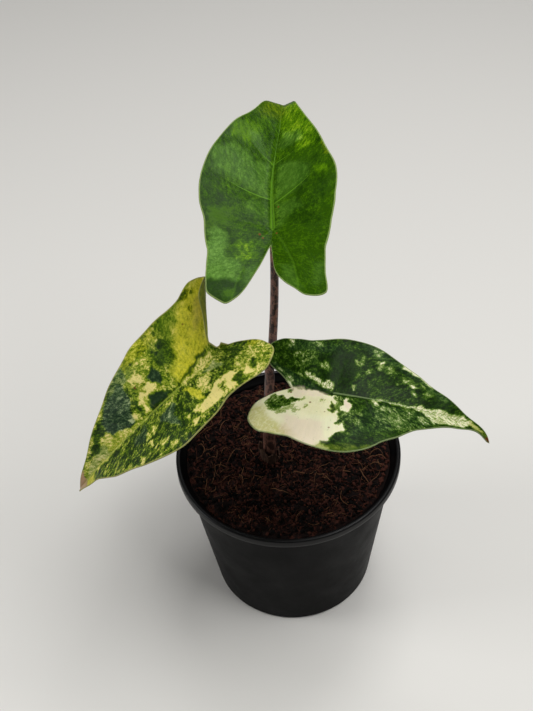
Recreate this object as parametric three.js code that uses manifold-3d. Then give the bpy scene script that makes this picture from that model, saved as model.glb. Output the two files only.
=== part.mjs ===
// A young variegated elephant-ear plant in a round black nursery pot.
// Millimetres, +Z up. The origin is the middle of the pot's base, on the surface it stands on.
// The side with two leaves low down faces -Y.

import * as THREE from 'three';
import { mergeVertices } from 'three/addons/utils/BufferGeometryUtils.js';
import Module from 'manifold-3d';

const wasm = await Module();
wasm.setup();

const rad = THREE.MathUtils.degToRad;
const clamp = THREE.MathUtils.clamp;

// Pot
const POT_HEIGHT = 94;
const RIM_RADIUS = 60;
const RIM_BAND = 2.4;
const RIM_SKIRT = 4.6;
const SKIRT_WALL = 0.9;
const WALL_TOP_RADIUS = 56.2;
const WALL_BASE_RADIUS = 44.5;
const WALL = 1.3;
const BASE_THICKNESS = 1.6;
const POT_SIDES = 48;
const LEDGE = 1.2;
const EDGE_ROUND = 1.2;
const DRAIN_HOLES = 8;
const DRAIN_RADIUS = 3.2;
const DRAIN_RING_RADIUS = 34;

// Coir
const CLEARANCE = 0.3;
const COIR_LEVEL = 90;
const COIR_RELIEF = 1.3;
const COIR_SIDES = 44;
const COIR_RINGS = 9;
const HOLE_RADIUS = 5.8;
const HOLE_DEPTH = 22.1;
const FIBRE_COUNT = 56;
const FIBRE_THICKNESS = 0.55;

// Plant base, where the corm stands in the coir
const BASE = new THREE.Vector3(-9.8, -3, COIR_LEVEL);
const CORM_RADIUS = 5.3;
const CORM_DEPTH = 20;
const CORM_ROOTS = 6;

// Dry sheath round the foot of the petioles
const DRY_INNER = 4.1;
const DRY_WALL = 0.7;
const DRY_HEIGHT = 9.5;
const DRY_FLARE = 0.5;
const DRY_HIGH_SIDE = rad(200);

// Blades
const BLADE_THICKNESS = 0.7;
const RIB_DEPTH = 1.1;
const RIB_HALF_WIDTH = 1.5;
// Half the length of the slight S that a midrib can make to the side
const SPINE_HALF_WAVE = 50;
const BLADE_RINGS = [0.15, 0.34, 0.53, 0.7, 0.82, 0.91, 1];
// Angles from the tip, round the point where the petiole joins, at which a margin is given
const MARGIN_ANGLES = [0, 3, 6, 10, 20, 32, 48, 70, 95, 118, 131, 138, 146, 156, 161, 167, 175, 180];
// Angles of the blade's own grid lines, on each side
const RAY_ANGLES = [0, 1.5, 3, 6, 10, 15, 20, 26, 32, 40, 48, 58, 70, 82, 95, 107, 118, 125, 131, 135,
  138, 142, 146, 150, 153, 156, 159, 162, 165, 168, 172, 176, 180];

// Each leaf: where the petiole joins its blade, the way the blade faces, how it bends, and its margin.
// Turns and folds are in degrees, bends in degrees for each 10 mm, margins and spineBow in mm.
const LEAVES = {
  top: {
    join: [-1.4, -12.2, 256.1],
    heading: 83.5, pitch: 12.9, roll: -2.8,
    arch: 0.5, tipDroop: 34, droopStart: 61.5, tipTurn: 0, lobeArch: -0.2, sideBend: 0.2, spineBow: 1.6,
    foldLeft: 18, foldRight: 19.3, foldTip: 4.7, lobeTurnLeft: -9, lobeTurnRight: -9,
    curlLeft: 1.5, curlRight: 3.3,
    marginLeft: [91.5, 83, 76.7, 69.7, 61.5, 51.7, 42, 34, 29.4, 30.6, 35.3, 39.4, 43.8, 44, 38.4, 21.1, 9.6, 8.6],
    marginRight: [91.5, 82, 71.7, 65, 54.7, 46.3, 39.9, 30.6, 26.3, 27.4, 31.5, 35.8, 43.3, 39.4, 34.1, 29.3, 20.8, 8.6],
    color: 0x3f7a1c,
  },
  left: {
    join: [-47.4, -48, 198.9],
    heading: 203, pitch: -32, roll: -7,
    arch: 3.5, tipDroop: 13, droopStart: 60, tipTurn: 0, lobeArch: 1.8, sideBend: -1.7, spineBow: 0,
    foldLeft: 16.4, foldRight: 17.6, foldTip: 1.7, lobeTurnLeft: 5.3, lobeTurnRight: 15.1,
    curlLeft: 1.6, curlRight: 0.1,
    marginLeft: [77.5, 67.5, 58.9, 54, 45.7, 38.2, 34.1, 31.4, 29.4, 30.9, 37.3, 47.1, 49.2, 44.7, 41.3, 37, 31.9, 28.4],
    marginRight: [77.5, 68, 62.3, 56.3, 46.1, 38.7, 33.3, 30.2, 30.4, 33.8, 38.9, 47.1, 50.2, 43, 32.6, 24, 24.3, 28.4],
    rolledEdge: { from: [-21.3, -3.9], to: [-42.6, -28.1], radius: 2.8, ease: 6 },
    color: 0x7c9a34,
  },
  right: {
    join: [21.2, -48, 188.3],
    heading: -13.3, pitch: -2.8, roll: 5.7,
    arch: 4.4, tipDroop: 16.2, droopStart: 60, tipTurn: -32, lobeArch: 2.2, sideBend: 1.2, spineBow: 0,
    foldLeft: 12.3, foldRight: 8.5, foldTip: 4.4, lobeTurnLeft: -1.7, lobeTurnRight: 1.6,
    curlLeft: 4.9, curlRight: 4.9,
    marginLeft: [79, 64.6, 59, 53.3, 42.9, 37.3, 33.1, 31.2, 29.4, 30.4, 35.6, 39.6, 40.9, 39, 33.2, 25.3, 21.1, 19.5],
    marginRight: [79, 63.1, 54.7, 48.1, 38.8, 35.2, 32.3, 32.4, 30.7, 31.2, 35.4, 39.4, 40.2, 37.1, 34.5, 28.7, 22.3, 19.5],
    color: 0x41602f,
  },
};

// Petioles: each older one wraps the younger ones as a sheath up to the height where it leaves them.
// arc is the half angle of the sheath and bearing the side it is on, in degrees; close is the height over
// which it closes to a round stalk. start and finish bend the stalk, outward and up, as shares of its reach.
const PETIOLES = {
  top: { footRadius: 1.75, endRadius: 1.35 },
  left: {
    footRadius: 1.55, endRadius: 1.3, inner: 2.1, outer: 2.7, arc: 112, bearing: 205, leave: 84, close: 14,
    start: [0.12, 0.34], finish: [-0.3, -0.16],
  },
  right: {
    footRadius: 1.55, endRadius: 1.3, inner: 3.1, outer: 3.7, arc: 108, bearing: -40, leave: 34, close: 10,
    start: [0.2, 0.24], finish: [-0.3, -0.16],
  },
};
const PETIOLE_SIDES = 16;

// A seeded draw, the same on every run
let seed = 20231;
function draw(low = 0, high = 1) {
  seed = (seed * 1664525 + 1013904223) % 4294967296;
  return low + (high - low) * seed / 4294967296;
}

// Meshes and solids

function indexedGeometry(points, faces) {
  const geometry = new THREE.BufferGeometry();
  geometry.setAttribute('position', new THREE.Float32BufferAttribute(points.flatMap((p) => p.toArray()), 3));
  geometry.setIndex(faces.flat());
  return geometry;
}

function toManifold(geometry) {
  const bare = geometry.clone();
  bare.deleteAttribute('normal');
  bare.deleteAttribute('uv');
  const merged = mergeVertices(bare, 1e-4);
  return new wasm.Manifold(new wasm.Mesh({
    numProp: 3,
    vertProperties: new Float32Array(merged.attributes.position.array),
    triVerts: new Uint32Array(merged.index.array),
  }));
}

function fromManifold(solid) {
  const mesh = solid.getMesh();
  const geometry = new THREE.BufferGeometry();
  geometry.setAttribute('position', new THREE.BufferAttribute(new Float32Array(mesh.vertProperties), 3));
  geometry.setIndex(new THREE.BufferAttribute(new Uint32Array(mesh.triVerts), 1));
  return geometry;
}

function namedMesh(name, geometry, color, roughness, metalness = 0) {
  geometry.computeVertexNormals();
  const mesh = new THREE.Mesh(geometry, new THREE.MeshStandardMaterial({ color, roughness, metalness }));
  mesh.name = name;
  return mesh;
}

// Triangles across one ring of a body, in a strip between its two halves, so that a crescent is capped too
function cap(start, sides) {
  const faces = [];
  let a = start;
  let b = start + sides - 1;
  while (b - a >= 2) {
    faces.push([a, a + 1, b]);
    a += 1;
    if (b - a >= 2) {
      faces.push([a, b - 1, b]);
      b -= 1;
    }
  }
  return faces;
}

// A closed body through rings of equally many points
function loft(rings) {
  const sides = rings[0].length;
  const points = rings.flat();
  const faces = [];
  for (let i = 0; i + 1 < rings.length; i += 1) {
    for (let j = 0; j < sides; j += 1) {
      const a = i * sides + j;
      const b = i * sides + (j + 1) % sides;
      faces.push([a, b, b + sides], [a, b + sides, a + sides]);
    }
  }
  faces.push(...cap(0, sides).map(([a, b, c]) => [a, c, b]));
  faces.push(...cap((rings.length - 1) * sides, sides));
  return indexedGeometry(points, faces);
}

// Pot

function potGeometry() {
  const floor = BASE_THICKNESS;
  const bandInner = RIM_RADIUS - RIM_BAND;
  const skirtFoot = POT_HEIGHT - RIM_SKIRT;
  const skirtInner = RIM_RADIUS - SKIRT_WALL;
  const ledge = skirtFoot + LEDGE;
  const profile = [
    [0, 0],
    [WALL_BASE_RADIUS - EDGE_ROUND, 0],
    [WALL_BASE_RADIUS, EDGE_ROUND],
    [WALL_TOP_RADIUS, ledge - 1.6],
    [bandInner + EDGE_ROUND, ledge],
    [skirtInner, ledge],
    [skirtInner, skirtFoot],
    [RIM_RADIUS, skirtFoot],
    [RIM_RADIUS, POT_HEIGHT - 0.9],
    [RIM_RADIUS - 0.5, POT_HEIGHT - 0.2],
    [RIM_RADIUS - EDGE_ROUND, POT_HEIGHT],
    [bandInner + 0.5, POT_HEIGHT - 0.3],
    [bandInner, POT_HEIGHT - 1],
    [WALL_TOP_RADIUS - WALL, ledge - 1.2],
    [WALL_BASE_RADIUS - WALL, floor + 1],
    [WALL_BASE_RADIUS - WALL - 1, floor],
    [0, floor],
  ];
  const lathe = new THREE.LatheGeometry(profile.map(([r, z]) => new THREE.Vector2(r, z)), POT_SIDES);
  lathe.rotateX(Math.PI / 2);
  let pot = toManifold(lathe);
  for (let i = 0; i < DRAIN_HOLES; i += 1) {
    const angle = 2 * Math.PI * i / DRAIN_HOLES;
    const drill = new THREE.CylinderGeometry(DRAIN_RADIUS, DRAIN_RADIUS, 3 * floor, 12);
    drill.rotateX(Math.PI / 2);
    drill.translate(DRAIN_RING_RADIUS * Math.cos(angle), DRAIN_RING_RADIUS * Math.sin(angle), floor / 2);
    pot = pot.subtract(toManifold(drill));
  }
  return fromManifold(pot);
}

// Inner radius of the pot's wall at a height
function potInside(z) {
  const rise = (z - 1) / (POT_HEIGHT - RIM_SKIRT);
  return WALL_BASE_RADIUS - WALL + (WALL_TOP_RADIUS - WALL_BASE_RADIUS) * clamp(rise, 0, 1);
}

// Coir

// Height of the coir's surface: crossing ripples of unequal length, lower against the wall
function coirHeight(x, y) {
  const ripples = Math.sin(0.41 * x + 0.9 * Math.sin(0.23 * y)) * Math.cos(0.37 * y + 0.7 * Math.sin(0.31 * x))
    + 0.6 * Math.sin(0.83 * x - 0.57 * y + 1.3) * Math.cos(0.49 * x + 0.91 * y);
  const edge = clamp((Math.hypot(x, y) - 44) / 12, 0, 1);
  return COIR_LEVEL + COIR_RELIEF * ripples * 0.6 - 1.4 * edge * edge;
}

function coirBody() {
  const ring = (radius, cx, cy, heightAt) => {
    const points = [];
    for (let j = 0; j < COIR_SIDES; j += 1) {
      const angle = 2 * Math.PI * j / COIR_SIDES;
      const x = cx + radius * Math.cos(angle);
      const y = cy + radius * Math.sin(angle);
      points.push(new THREE.Vector3(x, y, heightAt(x, y)));
    }
    return points;
  };
  const foot = BASE_THICKNESS + CLEARANCE;
  const shoulder = POT_HEIGHT - RIM_SKIRT - 2.5;
  const rings = [
    ring(potInside(foot) - 1 - CLEARANCE, 0, 0, () => foot),
    ring(potInside(foot + 1) - CLEARANCE * 2, 0, 0, () => foot + 1.2),
    ring(potInside(shoulder) - CLEARANCE * 2, 0, 0, () => shoulder),
  ];
  const outer = potInside(shoulder) - CLEARANCE * 3;
  for (let i = 0; i <= COIR_RINGS; i += 1) {
    const t = i / COIR_RINGS;
    const radius = THREE.MathUtils.lerp(outer, HOLE_RADIUS, t);
    rings.push(ring(radius, BASE.x * t, BASE.y * t, coirHeight));
  }
  rings.push(ring(HOLE_RADIUS, BASE.x, BASE.y, () => COIR_LEVEL - HOLE_DEPTH));
  return loft(rings);
}

// One curved fibre, humped out of the surface with both ends below it
function fibre() {
  const radius = draw(14, 50);
  const bearing = draw(0, 2 * Math.PI);
  const x = radius * Math.cos(bearing);
  const y = radius * Math.sin(bearing);
  const heading = draw(0, 2 * Math.PI);
  const length = draw(8, 17);
  const bow = draw(-3, 3);
  const lift = draw(1.1, 2.4);
  const along = new THREE.Vector3(Math.cos(heading), Math.sin(heading), 0);
  const across = new THREE.Vector3(-along.y, along.x, 0);
  const up = new THREE.Vector3(0, 0, 1);
  const rings = [];
  for (let i = 0; i <= 4; i += 1) {
    const t = i / 4;
    const hump = 4 * t * (1 - t);
    const centre = new THREE.Vector3(x, y, 0)
      .addScaledVector(along, (t - 0.5) * length)
      .addScaledVector(across, bow * hump);
    centre.z = coirHeight(centre.x, centre.y) - 1.5 + hump * (lift + 0.9);
    const ring = [];
    for (let j = 0; j < 3; j += 1) {
      const angle = 2 * Math.PI * j / 3 + 0.5;
      ring.push(centre.clone()
        .addScaledVector(across, FIBRE_THICKNESS * Math.cos(angle))
        .addScaledVector(up, FIBRE_THICKNESS * Math.sin(angle)));
    }
    rings.push(ring);
  }
  return loft(rings);
}

function coirGeometry() {
  let coir = toManifold(coirBody());
  const reach = potInside(COIR_LEVEL) - 3;
  for (let i = 0; i < FIBRE_COUNT; i += 1) {
    const piece = fibre();
    piece.computeBoundingSphere();
    const { center, radius } = piece.boundingSphere;
    const nearPlant = Math.hypot(center.x - BASE.x, center.y - BASE.y) < HOLE_RADIUS + radius + 1;
    if (Math.hypot(center.x, center.y) + radius < reach && !nearPlant) {
      coir = coir.add(toManifold(piece));
    }
  }
  return fromManifold(coir);
}

// Corm: a ringed stub with the stumps of its roots

function cormGeometry() {
  const profile = [
    [0, -CORM_DEPTH],
    [2.2, -CORM_DEPTH + 0.6],
    [4.2, -CORM_DEPTH + 4],
    [CORM_RADIUS - 0.4, -CORM_DEPTH + 8],
    [CORM_RADIUS, -CORM_DEPTH + 11.5],
    [CORM_RADIUS - 0.7, -CORM_DEPTH + 12.4],
    [CORM_RADIUS - 0.3, -CORM_DEPTH + 15],
    [CORM_RADIUS - 1.1, -CORM_DEPTH + 15.8],
    [CORM_RADIUS - 1, -CORM_DEPTH + 18],
    [4.2, -0.7],
    [3.8, -CLEARANCE],
    [0, -CLEARANCE],
  ];
  const lathe = new THREE.LatheGeometry(profile.map(([r, z]) => new THREE.Vector2(r, z)), 20);
  lathe.rotateX(Math.PI / 2);
  let corm = toManifold(lathe);
  for (let i = 0; i < CORM_ROOTS; i += 1) {
    const angle = 2 * Math.PI * (i + 0.3) / CORM_ROOTS;
    const root = new THREE.CylinderGeometry(0.95, 0.6, 6, 6);
    root.rotateX(Math.PI / 2);
    root.rotateY(rad(24));
    root.translate(3.2, 0, -CORM_DEPTH + 1.2);
    root.rotateZ(angle);
    corm = corm.add(toManifold(root));
  }
  const geometry = fromManifold(corm);
  geometry.translate(BASE.x, BASE.y, COIR_LEVEL);
  return geometry;
}

// Leaves

// Monotone curve through margin distances, worked out on their inverses so that straight edges stay straight
function marginCurve(distances) {
  const x = MARGIN_ANGLES;
  const y = distances.map((d) => 1 / d);
  const n = x.length;
  const step = x.slice(1).map((v, i) => v - x[i]);
  const slope = step.map((h, i) => (y[i + 1] - y[i]) / h);
  const tangent = y.map((_, i) => {
    if (i === 0) return slope[0];
    if (i === n - 1) return slope[n - 2];
    if (slope[i - 1] * slope[i] <= 0) return 0;
    const wa = 2 * step[i] + step[i - 1];
    const wb = step[i] + 2 * step[i - 1];
    return (wa + wb) / (wa / slope[i - 1] + wb / slope[i]);
  });
  return (angle) => {
    let i = 0;
    while (i < n - 2 && angle > x[i + 1]) i += 1;
    const t = (angle - x[i]) / step[i];
    const value = y[i] * (1 + 2 * t) * (1 - t) ** 2 + tangent[i] * step[i] * t * (1 - t) ** 2
      + y[i + 1] * t * t * (3 - 2 * t) + tangent[i + 1] * step[i] * t * t * (t - 1);
    return 1 / value;
  };
}

// A lobe's edge rolled up and over along a straight line in the flat leaf, eased in from where the line starts
function rolled(edge, s, t) {
  if (!edge || t >= 0) return { s, t, lift: 0 };
  const { from, to, radius, ease } = edge;
  const length = Math.hypot(to[0] - from[0], to[1] - from[1]);
  const along = [(to[0] - from[0]) / length, (to[1] - from[1]) / length];
  const inward = [along[1], -along[0]];
  const run = (s - from[0]) * along[0] + (t - from[1]) * along[1];
  const past = (s - from[0]) * inward[0] + (t - from[1]) * inward[1] + radius;
  const share = THREE.MathUtils.smoothstep(run, 0, ease);
  if (past <= 0 || share <= 0) return { s, t, lift: 0 };
  const turn = share * past / radius;
  const shift = Math.sin(turn) * radius / share - past;
  return {
    s: s + shift * inward[0],
    t: t + shift * inward[1],
    lift: (1 - Math.cos(turn)) * radius / share,
  };
}

// The curved sheet that a flat leaf lies on. s runs along the midrib, + to the tip; t to the leaf's left.
function leafSheet(leaf) {
  const join = new THREE.Vector3(...leaf.join);
  const cp = Math.cos(rad(leaf.pitch));
  const forward = new THREE.Vector3(
    Math.cos(rad(leaf.heading)) * cp,
    Math.sin(rad(leaf.heading)) * cp,
    Math.sin(rad(leaf.pitch)),
  );
  const level = new THREE.Vector3(0, 0, 1).cross(forward).normalize();
  const side = level.clone().applyAxisAngle(forward, rad(leaf.roll));
  const normal = forward.clone().cross(side);
  const frameAt = (s) => {
    const past = Math.max(0, s - leaf.droopStart);
    const droop = past < 12 ? past * past / 24 : past - 6;
    const down = rad((s >= 0 ? leaf.arch * s + leaf.tipDroop * droop : leaf.lobeArch * s) / 10);
    const turn = rad((leaf.sideBend * s + leaf.tipTurn * droop) / 10);
    const ahead = forward.clone().multiplyScalar(Math.cos(turn)).addScaledVector(side, Math.sin(turn));
    const left = forward.clone().multiplyScalar(-Math.sin(turn)).addScaledVector(side, Math.cos(turn));
    const tangent = ahead.multiplyScalar(Math.cos(down)).addScaledVector(normal, -Math.sin(down));
    return { tangent, left, up: tangent.clone().cross(left) };
  };
  const spineShift = (s) => (s > 0 ? leaf.spineBow * Math.sin(Math.PI * s / SPINE_HALF_WAVE) * s / (s + 4) : 0);
  const midrib = (s) => {
    const steps = Math.max(1, Math.round(Math.abs(s)));
    const point = join.clone();
    for (let i = 0; i < steps; i += 1) {
      point.addScaledVector(frameAt(s * (i + 0.5) / steps).tangent, s / steps);
    }
    return point;
  };
  const point = (flatS, flatT) => {
    const { s, t, lift } = rolled(leaf.rolledEdge, flatS, flatT);
    const { left, up } = frameAt(s);
    const onLeft = t > 0;
    const away = Math.abs(t);
    const tipShare = clamp(s / 80, 0, 1.3);
    const lobeShare = clamp(-s / 40, 0, 1.5);
    const fold = rad((onLeft ? leaf.foldLeft : leaf.foldRight) + leaf.foldTip * tipShare
      + (onLeft ? leaf.lobeTurnLeft : leaf.lobeTurnRight) * lobeShare);
    const curl = rad((onLeft ? leaf.curlLeft : leaf.curlRight) / 10) + 1e-6;
    const across = (Math.sin(fold) - Math.sin(fold - curl * away)) / curl;
    const rise = (Math.cos(fold - curl * away) - Math.cos(fold)) / curl;
    const sideways = spineShift(s) + Math.sign(t) * across;
    return midrib(s).addScaledVector(left, sideways).addScaledVector(up, rise + lift);
  };
  return { point, frameAt, join };
}

// How far the underside stands out as the midrib and the two ribs of the lobes
function ribDepth(s, t) {
  const main = s > 0 ? Math.exp(-((t / RIB_HALF_WIDTH) ** 2)) * clamp(1 - s / 85, 0, 1) : 0;
  const lobeAngle = rad(160);
  const along = s * Math.cos(lobeAngle) + Math.abs(t) * Math.sin(lobeAngle);
  const off = -s * Math.sin(lobeAngle) + Math.abs(t) * Math.cos(lobeAngle);
  const lobe = along > 0 ? Math.exp(-((off / RIB_HALF_WIDTH) ** 2)) * clamp(1 - along / 42, 0, 1) : 0;
  const centre = Math.exp(-(s * s + t * t) / 6);
  return RIB_DEPTH * Math.max(main, 0.8 * lobe, centre);
}

function bladeGeometry(leaf) {
  const sheet = leafSheet(leaf);
  const rays = [];
  const leftMargin = marginCurve(leaf.marginLeft);
  const rightMargin = marginCurve(leaf.marginRight);
  RAY_ANGLES.forEach((angle) => rays.push([rad(angle), leftMargin(angle)]));
  RAY_ANGLES.slice(1, -1).reverse().forEach((angle) => rays.push([-rad(angle), rightMargin(angle)]));
  const count = rays.length;
  const flat = [[0, 0]];
  for (const share of BLADE_RINGS) {
    for (const [angle, reach] of rays) {
      flat.push([share * reach * Math.cos(angle), share * reach * Math.sin(angle)]);
    }
  }
  const upper = flat.map(([s, t]) => sheet.point(s, t));
  const faces = [];
  for (let j = 0; j < count; j += 1) {
    faces.push([0, 1 + j, 1 + (j + 1) % count]);
  }
  for (let i = 0; i + 1 < BLADE_RINGS.length; i += 1) {
    for (let j = 0; j < count; j += 1) {
      const a = 1 + i * count + j;
      const b = 1 + i * count + (j + 1) % count;
      faces.push([a, a + count, b + count], [a, b + count, b]);
    }
  }
  const sheetGeometry = indexedGeometry(upper, faces);
  sheetGeometry.computeVertexNormals();
  const normals = sheetGeometry.attributes.normal;
  const lower = upper.map((p, i) => {
    const depth = BLADE_THICKNESS + ribDepth(...flat[i]);
    const n = new THREE.Vector3().fromBufferAttribute(normals, i);
    return p.clone().addScaledVector(n, -depth);
  });
  const total = upper.length;
  const edge = total - count;
  const closed = [...faces, ...faces.map(([a, b, c]) => [a + total, c + total, b + total])];
  for (let j = 0; j < count; j += 1) {
    const a = edge + j;
    const b = edge + (j + 1) % count;
    closed.push([a, a + total, b + total], [a, b + total, b]);
  }
  return indexedGeometry([...upper, ...lower], closed);
}

// Petioles

// The middle of the bundle rises from the corm to the top leaf
function bundleCurve() {
  const top = new THREE.Vector3(...LEAVES.top.join);
  return new THREE.CubicBezierCurve3(
    BASE.clone(),
    BASE.clone().add(new THREE.Vector3(-0.6, -1, 55)),
    top.clone().add(new THREE.Vector3(0.4, -1.5, -60)),
    top,
  );
}

// A round ring of a petiole, turned to face along a direction
function roundRing(centre, direction, radius) {
  const across = new THREE.Vector3(0, 1, 0).cross(direction).normalize();
  const over = direction.clone().cross(across);
  const ring = [];
  for (let j = 0; j < PETIOLE_SIDES; j += 1) {
    const angle = 2 * Math.PI * j / PETIOLE_SIDES;
    ring.push(centre.clone()
      .addScaledVector(across, radius * Math.cos(angle))
      .addScaledVector(over, radius * Math.sin(angle)));
  }
  return ring;
}

function petioleTopGeometry() {
  const { footRadius, endRadius } = PETIOLES.top;
  const curve = bundleCurve();
  const { normal, end } = bladeSeat(LEAVES.top);
  const rings = [];
  const steps = 18;
  for (let i = 0; i <= steps; i += 1) {
    const t = i / steps;
    const near = clamp((t - 0.94) / 0.06, 0, 1);
    const centre = curve.getPoint(t * 0.99);
    if (i === steps) centre.copy(end);
    const direction = curve.getTangent(t).lerp(normal, near).normalize();
    rings.push(roundRing(centre, direction, THREE.MathUtils.lerp(footRadius, endRadius, t * t)));
  }
  return loft(rings);
}

// Where a petiole ends under its blade, and the way the blade faces there
function bladeSeat(leaf) {
  const { frameAt, join } = leafSheet(leaf);
  const normal = frameAt(0).up;
  const end = join.clone().addScaledVector(normal, -(BLADE_THICKNESS + RIB_DEPTH + CLEARANCE));
  return { normal, end };
}

// A sheath ring in polar form round the bundle: from a crescent, share 0, to a round stalk, share 1
function sheathRing(centre, spec, radius, share) {
  const half = PETIOLE_SIDES / 2;
  const stalkDistance = spec.inner + radius;
  const ring = [];
  for (let j = 0; j < PETIOLE_SIDES; j += 1) {
    const outside = j < half;
    const step = outside ? j / (half - 1) : (j - half) / (half - 1);
    const sweep = outside ? -1 + 2 * step : 1 - 2 * step;
    const crescentAngle = rad(spec.arc) * sweep;
    const crescentRadius = outside ? spec.outer : spec.inner;
    const round = Math.PI * (outside ? 0.9 * sweep / 2 : 1 - 0.9 * sweep / 2);
    const x = stalkDistance + radius * Math.cos(round);
    const y = radius * Math.sin(round);
    const angle = THREE.MathUtils.lerp(crescentAngle, Math.atan2(y, x), share) + rad(spec.bearing);
    const reach = THREE.MathUtils.lerp(crescentRadius, Math.hypot(x, y), share);
    ring.push(new THREE.Vector3(centre.x + reach * Math.cos(angle), centre.y + reach * Math.sin(angle), centre.z));
  }
  return ring;
}

function petioleSideGeometry(name) {
  const spec = PETIOLES[name];
  const leaf = LEAVES[name];
  const bundle = bundleCurve();
  const bundleAt = (z) => bundle.getPoint(clamp((z - BASE.z) / (LEAVES.top.join[2] - BASE.z), 0, 1));
  const rings = [];
  const rise = spec.leave;
  const lowSteps = Math.ceil(rise / 8);
  for (let i = 0; i <= lowSteps; i += 1) {
    const height = rise * i / lowSteps;
    const share = clamp((height - rise + spec.close) / spec.close, 0, 1);
    rings.push(sheathRing(bundleAt(BASE.z + height), spec, spec.footRadius, share * share));
  }
  const { normal, end } = bladeSeat(leaf);
  const distance = spec.inner + spec.footRadius;
  const start = bundleAt(BASE.z + rise);
  start.x += distance * Math.cos(rad(spec.bearing));
  start.y += distance * Math.sin(rad(spec.bearing));
  const reach = end.distanceTo(start);
  const outward = end.clone().sub(start).setZ(0).normalize();
  const bent = (from, [out, up]) => from.clone()
    .addScaledVector(outward, out * reach)
    .add(new THREE.Vector3(0, 0, up * reach));
  const stalk = new THREE.CubicBezierCurve3(start, bent(start, spec.start), bent(end, spec.finish), end);
  const steps = 12;
  for (let i = 1; i <= steps; i += 1) {
    const t = i / steps;
    const near = clamp((t - 0.8) / 0.2, 0, 1);
    const direction = stalk.getTangent(t).lerp(normal, near * 0.999).normalize();
    const radius = THREE.MathUtils.lerp(spec.footRadius, spec.endRadius, t);
    rings.push(stalkRing(stalk.getPoint(t), direction, radius, spec.bearing));
  }
  return loft(rings);
}

// A round ring whose points start where those of the sheath do, so that the two join without a twist
function stalkRing(centre, direction, radius, bearing) {
  const out = new THREE.Vector3(Math.cos(rad(bearing)), Math.sin(rad(bearing)), 0);
  const over = direction.clone().cross(out).normalize();
  const across = over.clone().cross(direction);
  const half = PETIOLE_SIDES / 2;
  const ring = [];
  for (let j = 0; j < PETIOLE_SIDES; j += 1) {
    const outside = j < half;
    const step = outside ? j / (half - 1) : (j - half) / (half - 1);
    const sweep = outside ? -1 + 2 * step : 1 - 2 * step;
    const round = Math.PI * (outside ? 0.9 * sweep / 2 : 1 - 0.9 * sweep / 2);
    ring.push(centre.clone()
      .addScaledVector(across, radius * Math.cos(round))
      .addScaledVector(over, radius * Math.sin(round)));
  }
  return ring;
}

// Dry sheath: a thin, ragged collar that flares a little from the foot of the petioles

function drySheathGeometry() {
  const sides = 20;
  const levels = [0, 0.35, 0.7, 1];
  const points = [];
  const wallPoint = (angle, share, thick) => {
    const ragged = 1 + 0.35 * Math.cos(angle - DRY_HIGH_SIDE) + 0.16 * Math.sin(5 * angle + 0.6);
    const z = COIR_LEVEL + DRY_HEIGHT * share * ragged;
    const flare = DRY_INNER + DRY_FLARE * share * share + 0.15 * (1 + Math.sin(5 * angle + 4 * share));
    return new THREE.Vector3(
      BASE.x + (flare + thick) * Math.cos(angle),
      BASE.y + (flare + thick) * Math.sin(angle),
      z,
    );
  };
  const loops = [...levels.map((v) => [v, DRY_WALL]), ...levels.slice().reverse().map((v) => [v, 0])];
  for (const [share, thick] of loops) {
    for (let j = 0; j < sides; j += 1) {
      points.push(wallPoint(2 * Math.PI * j / sides, share, thick));
    }
  }
  const faces = [];
  for (let i = 0; i < loops.length; i += 1) {
    const next = (i + 1) % loops.length;
    for (let j = 0; j < sides; j += 1) {
      const k = (j + 1) % sides;
      faces.push([i * sides + j, i * sides + k, next * sides + k], [i * sides + j, next * sides + k, next * sides + j]);
    }
  }
  return indexedGeometry(points, faces);
}

const plant = new THREE.Group();
plant.add(namedMesh('pot', potGeometry(), 0x0c0c0d, 0.45));
plant.add(namedMesh('coir', coirGeometry(), 0x2a1710, 0.95));
plant.add(namedMesh('corm', cormGeometry(), 0x4a3426, 0.8));
plant.add(namedMesh('dry_sheath', drySheathGeometry(), 0x5a4030, 0.85));
plant.add(namedMesh('petiole_top', petioleTopGeometry(), 0x6d4f45, 0.5));
plant.add(namedMesh('petiole_left', petioleSideGeometry('left'), 0x6d4f45, 0.5));
plant.add(namedMesh('petiole_right', petioleSideGeometry('right'), 0x6d4f45, 0.5));
for (const [name, leaf] of Object.entries(LEAVES)) {
  plant.add(namedMesh(`blade_${name}`, bladeGeometry(leaf), leaf.color, 0.4));
}

export default plant;
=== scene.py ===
import math

import bpy
import numpy as np
from mathutils import Matrix


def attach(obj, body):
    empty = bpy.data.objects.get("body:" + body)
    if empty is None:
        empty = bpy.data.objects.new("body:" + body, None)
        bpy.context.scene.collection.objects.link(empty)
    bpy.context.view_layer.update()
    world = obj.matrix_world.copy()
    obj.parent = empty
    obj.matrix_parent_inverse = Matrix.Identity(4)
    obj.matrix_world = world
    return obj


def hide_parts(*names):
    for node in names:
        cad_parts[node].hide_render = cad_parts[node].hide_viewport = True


# A young variegated elephant-ear plant with three leaves, in a round black nursery pot.
# Shapes are worked out in millimetres and put into the meshes in metres.

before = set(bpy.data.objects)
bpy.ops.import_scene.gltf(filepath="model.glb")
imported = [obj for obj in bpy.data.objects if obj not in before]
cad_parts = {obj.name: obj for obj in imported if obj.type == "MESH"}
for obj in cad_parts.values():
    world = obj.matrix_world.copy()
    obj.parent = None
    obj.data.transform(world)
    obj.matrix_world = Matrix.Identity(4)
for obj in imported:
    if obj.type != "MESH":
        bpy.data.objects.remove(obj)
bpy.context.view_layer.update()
scene = bpy.context.scene
millimetre = 0.001
flatSize, flatEdge = 160, 60  # mm that a UV map spans, and where its origin lies on a leaf
random = np.random.default_rng(911)
print("frame loaded:", sorted(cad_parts))


# Small tools

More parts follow.
